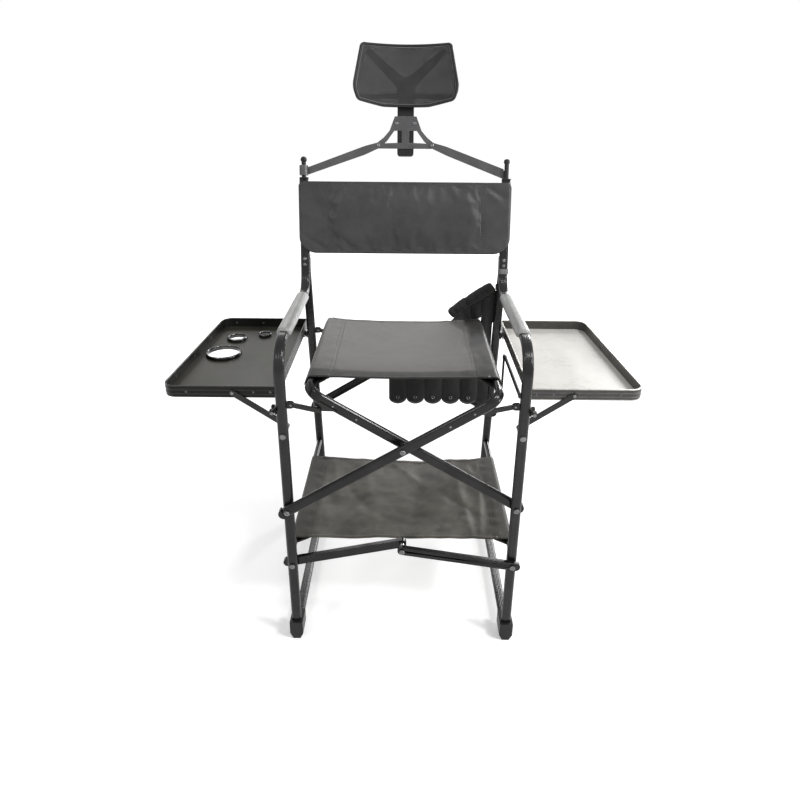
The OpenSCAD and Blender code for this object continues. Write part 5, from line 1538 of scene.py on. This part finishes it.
# %% Beads, lip and rivets of the trays
WALL, RIVET_H, RIVET_SIZE = 3.0, 13.5, (2.8, 1.2)
for side, word, body, slot_name, bead_finish, lip_finish in (
        (-1, "left", "tray_l", "tray_plastic", FLAT_FINISH, FLAT_FINISH),
        (1, "right", "tray_r", "tray_light", YOKE_FINISH, LIP_FINISH)):
    piece(f"{word}_tray_beads", together([tray_band(side, 0.0, TRAY_Z + z, 0.9, 1.5) for z in (8.5, 18.5)]),
          body, bead_finish, slot_name)
    piece(f"{word}_tray_lip", tray_band(side, 1.5, TRAY_Z + 27.2, 2.1, 1.5), body, lip_finish, slot_name)
    rivets = [rivet_head((side * x, TRAY_FRONT + 0.3, TRAY_Z + RIVET_H), FRONT, 3.0, 1.1)
              for x in (306, 345, 500)]
    rivets += [rivet_head((side * x, TRAY_REAR - WALL, TRAY_Z + RIVET_H), FRONT, *RIVET_SIZE)
               for x in (320, 420, 500)]
    for y in (-150, -20, 110):
        wall_x = TRAY_FRONT_X - (TRAY_FRONT_X - TRAY_REAR_X) * (y - TRAY_FRONT) / (TRAY_REAR - TRAY_FRONT)
        for x, out in ((wall_x - WALL, -side), (wall_x + 0.4, side)):
            rivets.append(rivet_head((side * x, y, TRAY_Z + 14), (out, 0, 0), *RIVET_SIZE))
    piece(f"{word}_tray_rivets", together(rivets), body, YOKE_FINISH, "bright_metal")
    print(word, "tray rivets", len(rivets))

# %% [markdown]
# ## Floor and light
# A plain white studio: the floor carries a soft shadow, and reads white to the camera and in
# reflections, because Light Path adds a little emission only for those rays. That emission is
# weaker near the chair, which paints a soft shade round it. The key lamp hangs to the right in
# front, as the highlights on the tubes show, and a weaker one to the left. A tall lamp at the
# right rear stands for a window, a wide one behind lights the edges, a small one at the right
# fills, and an even white surround does the rest.

# %% Floor
FLOOR_SIDE, FLOOR_NEAR, FLOOR_FAR, FLOOR_H = 14, -10, 18, -0.0005
floor_mesh = bpy.data.meshes.new("studio_floor")
floor_mesh.from_pydata([(-FLOOR_SIDE, FLOOR_NEAR, FLOOR_H), (FLOOR_SIDE, FLOOR_NEAR, FLOOR_H),
                        (FLOOR_SIDE, FLOOR_FAR, FLOOR_H), (-FLOOR_SIDE, FLOOR_FAR, FLOOR_H)],
                       [], [(0, 1, 2, 3)])
floor = bpy.data.objects.new("studio_floor", floor_mesh)
bpy.context.scene.collection.objects.link(floor)


def seen_directly(tree):
    """1 for rays from the camera, from gloss and through glass; 0 for light on surfaces."""
    path = tree.nodes.new("ShaderNodeLightPath").outputs
    seen = math_node(tree, "ADD", path["Is Camera Ray"], path["Is Glossy Ray"])
    return math_node(tree, "ADD", seen, path["Is Transmission Ray"], clamp=True)


FLOOR_FINISH, tree, shader = material("studio_floor", 0.9, Base_Color=(0.86, 0.86, 0.86, 1),
                                      Specular_IOR_Level=0.0, Emission_Color=(1, 1, 1, 1))
place = object_place(tree)
away = add(tree, "ShaderNodeVectorMath", operation="LENGTH", _0=place).outputs[1]
# The camera-ray glow is weaker within about 2 m of the chair. This paints shade round the chair, so that its
# shadow shows on the white floor.
glow_with_painted_shade = math_node(tree, "MULTIPLY", seen_directly(tree), spread(tree, away, 0.5, 2.4, 0.3, 0.66))
tree.links.new(glow_with_painted_shade, shader.inputs["Emission Strength"])
floor_mesh.materials.append(FLOOR_FINISH)
print("floor", 2 * FLOOR_SIDE, "m wide")

# %% White surround
SURROUND = 0.42
world = bpy.data.worlds.new("studio")
world.use_nodes = True
bpy.context.scene.world = world
sky = world.node_tree.nodes["Background"]
sky.inputs["Color"].default_value = (1, 1, 1, 1)
level_node = spread(world.node_tree, seen_directly(world.node_tree), 0.0, 1.0, SURROUND, 1.0)
world.node_tree.links.new(level_node, sky.inputs["Strength"])
print("surround lights the chair at", SURROUND)


# %% Lamps
def soft_lamp(name, place, aim_h, size, power, height=None):
    """A round lamp, or with a height a rectangle, aimed at the chair's middle at a height."""
    lamp = bpy.data.lights.new(name, "AREA")
    lamp.shape, lamp.size, lamp.energy = "DISK" if height is None else "RECTANGLE", size, power
    lamp.size_y = height or size
    holder = bpy.data.objects.new(name, lamp)
    holder.location = place
    holder.rotation_euler = (Vector((0, 0, aim_h)) - Vector(place)).to_track_quat("-Z", "Y").to_euler()
    holder.visible_camera = False
    bpy.context.scene.collection.objects.link(holder)


soft_lamp("key_lamp", (2.0, -1.4, 3.05), aim_h=0.6, size=0.7, power=62)
soft_lamp("left_lamp", (-1.8, -2.0, 2.8), aim_h=0.7, size=0.7, power=17)
soft_lamp("window_lamp", (2.7, 3.9, 2.2), aim_h=0.6, size=1.1, power=150, height=2.2)
soft_lamp("back_lamp", (-0.4, 4.2, 3.5), aim_h=0.6, size=3.5, power=50, height=0.9)
soft_lamp("fill_lamp", (2.8, -0.8, 1.5), aim_h=0.7, size=0.5, power=30)
view = bpy.context.scene.view_settings
view.view_transform = "Standard"
print("lamps", len(bpy.data.lights))
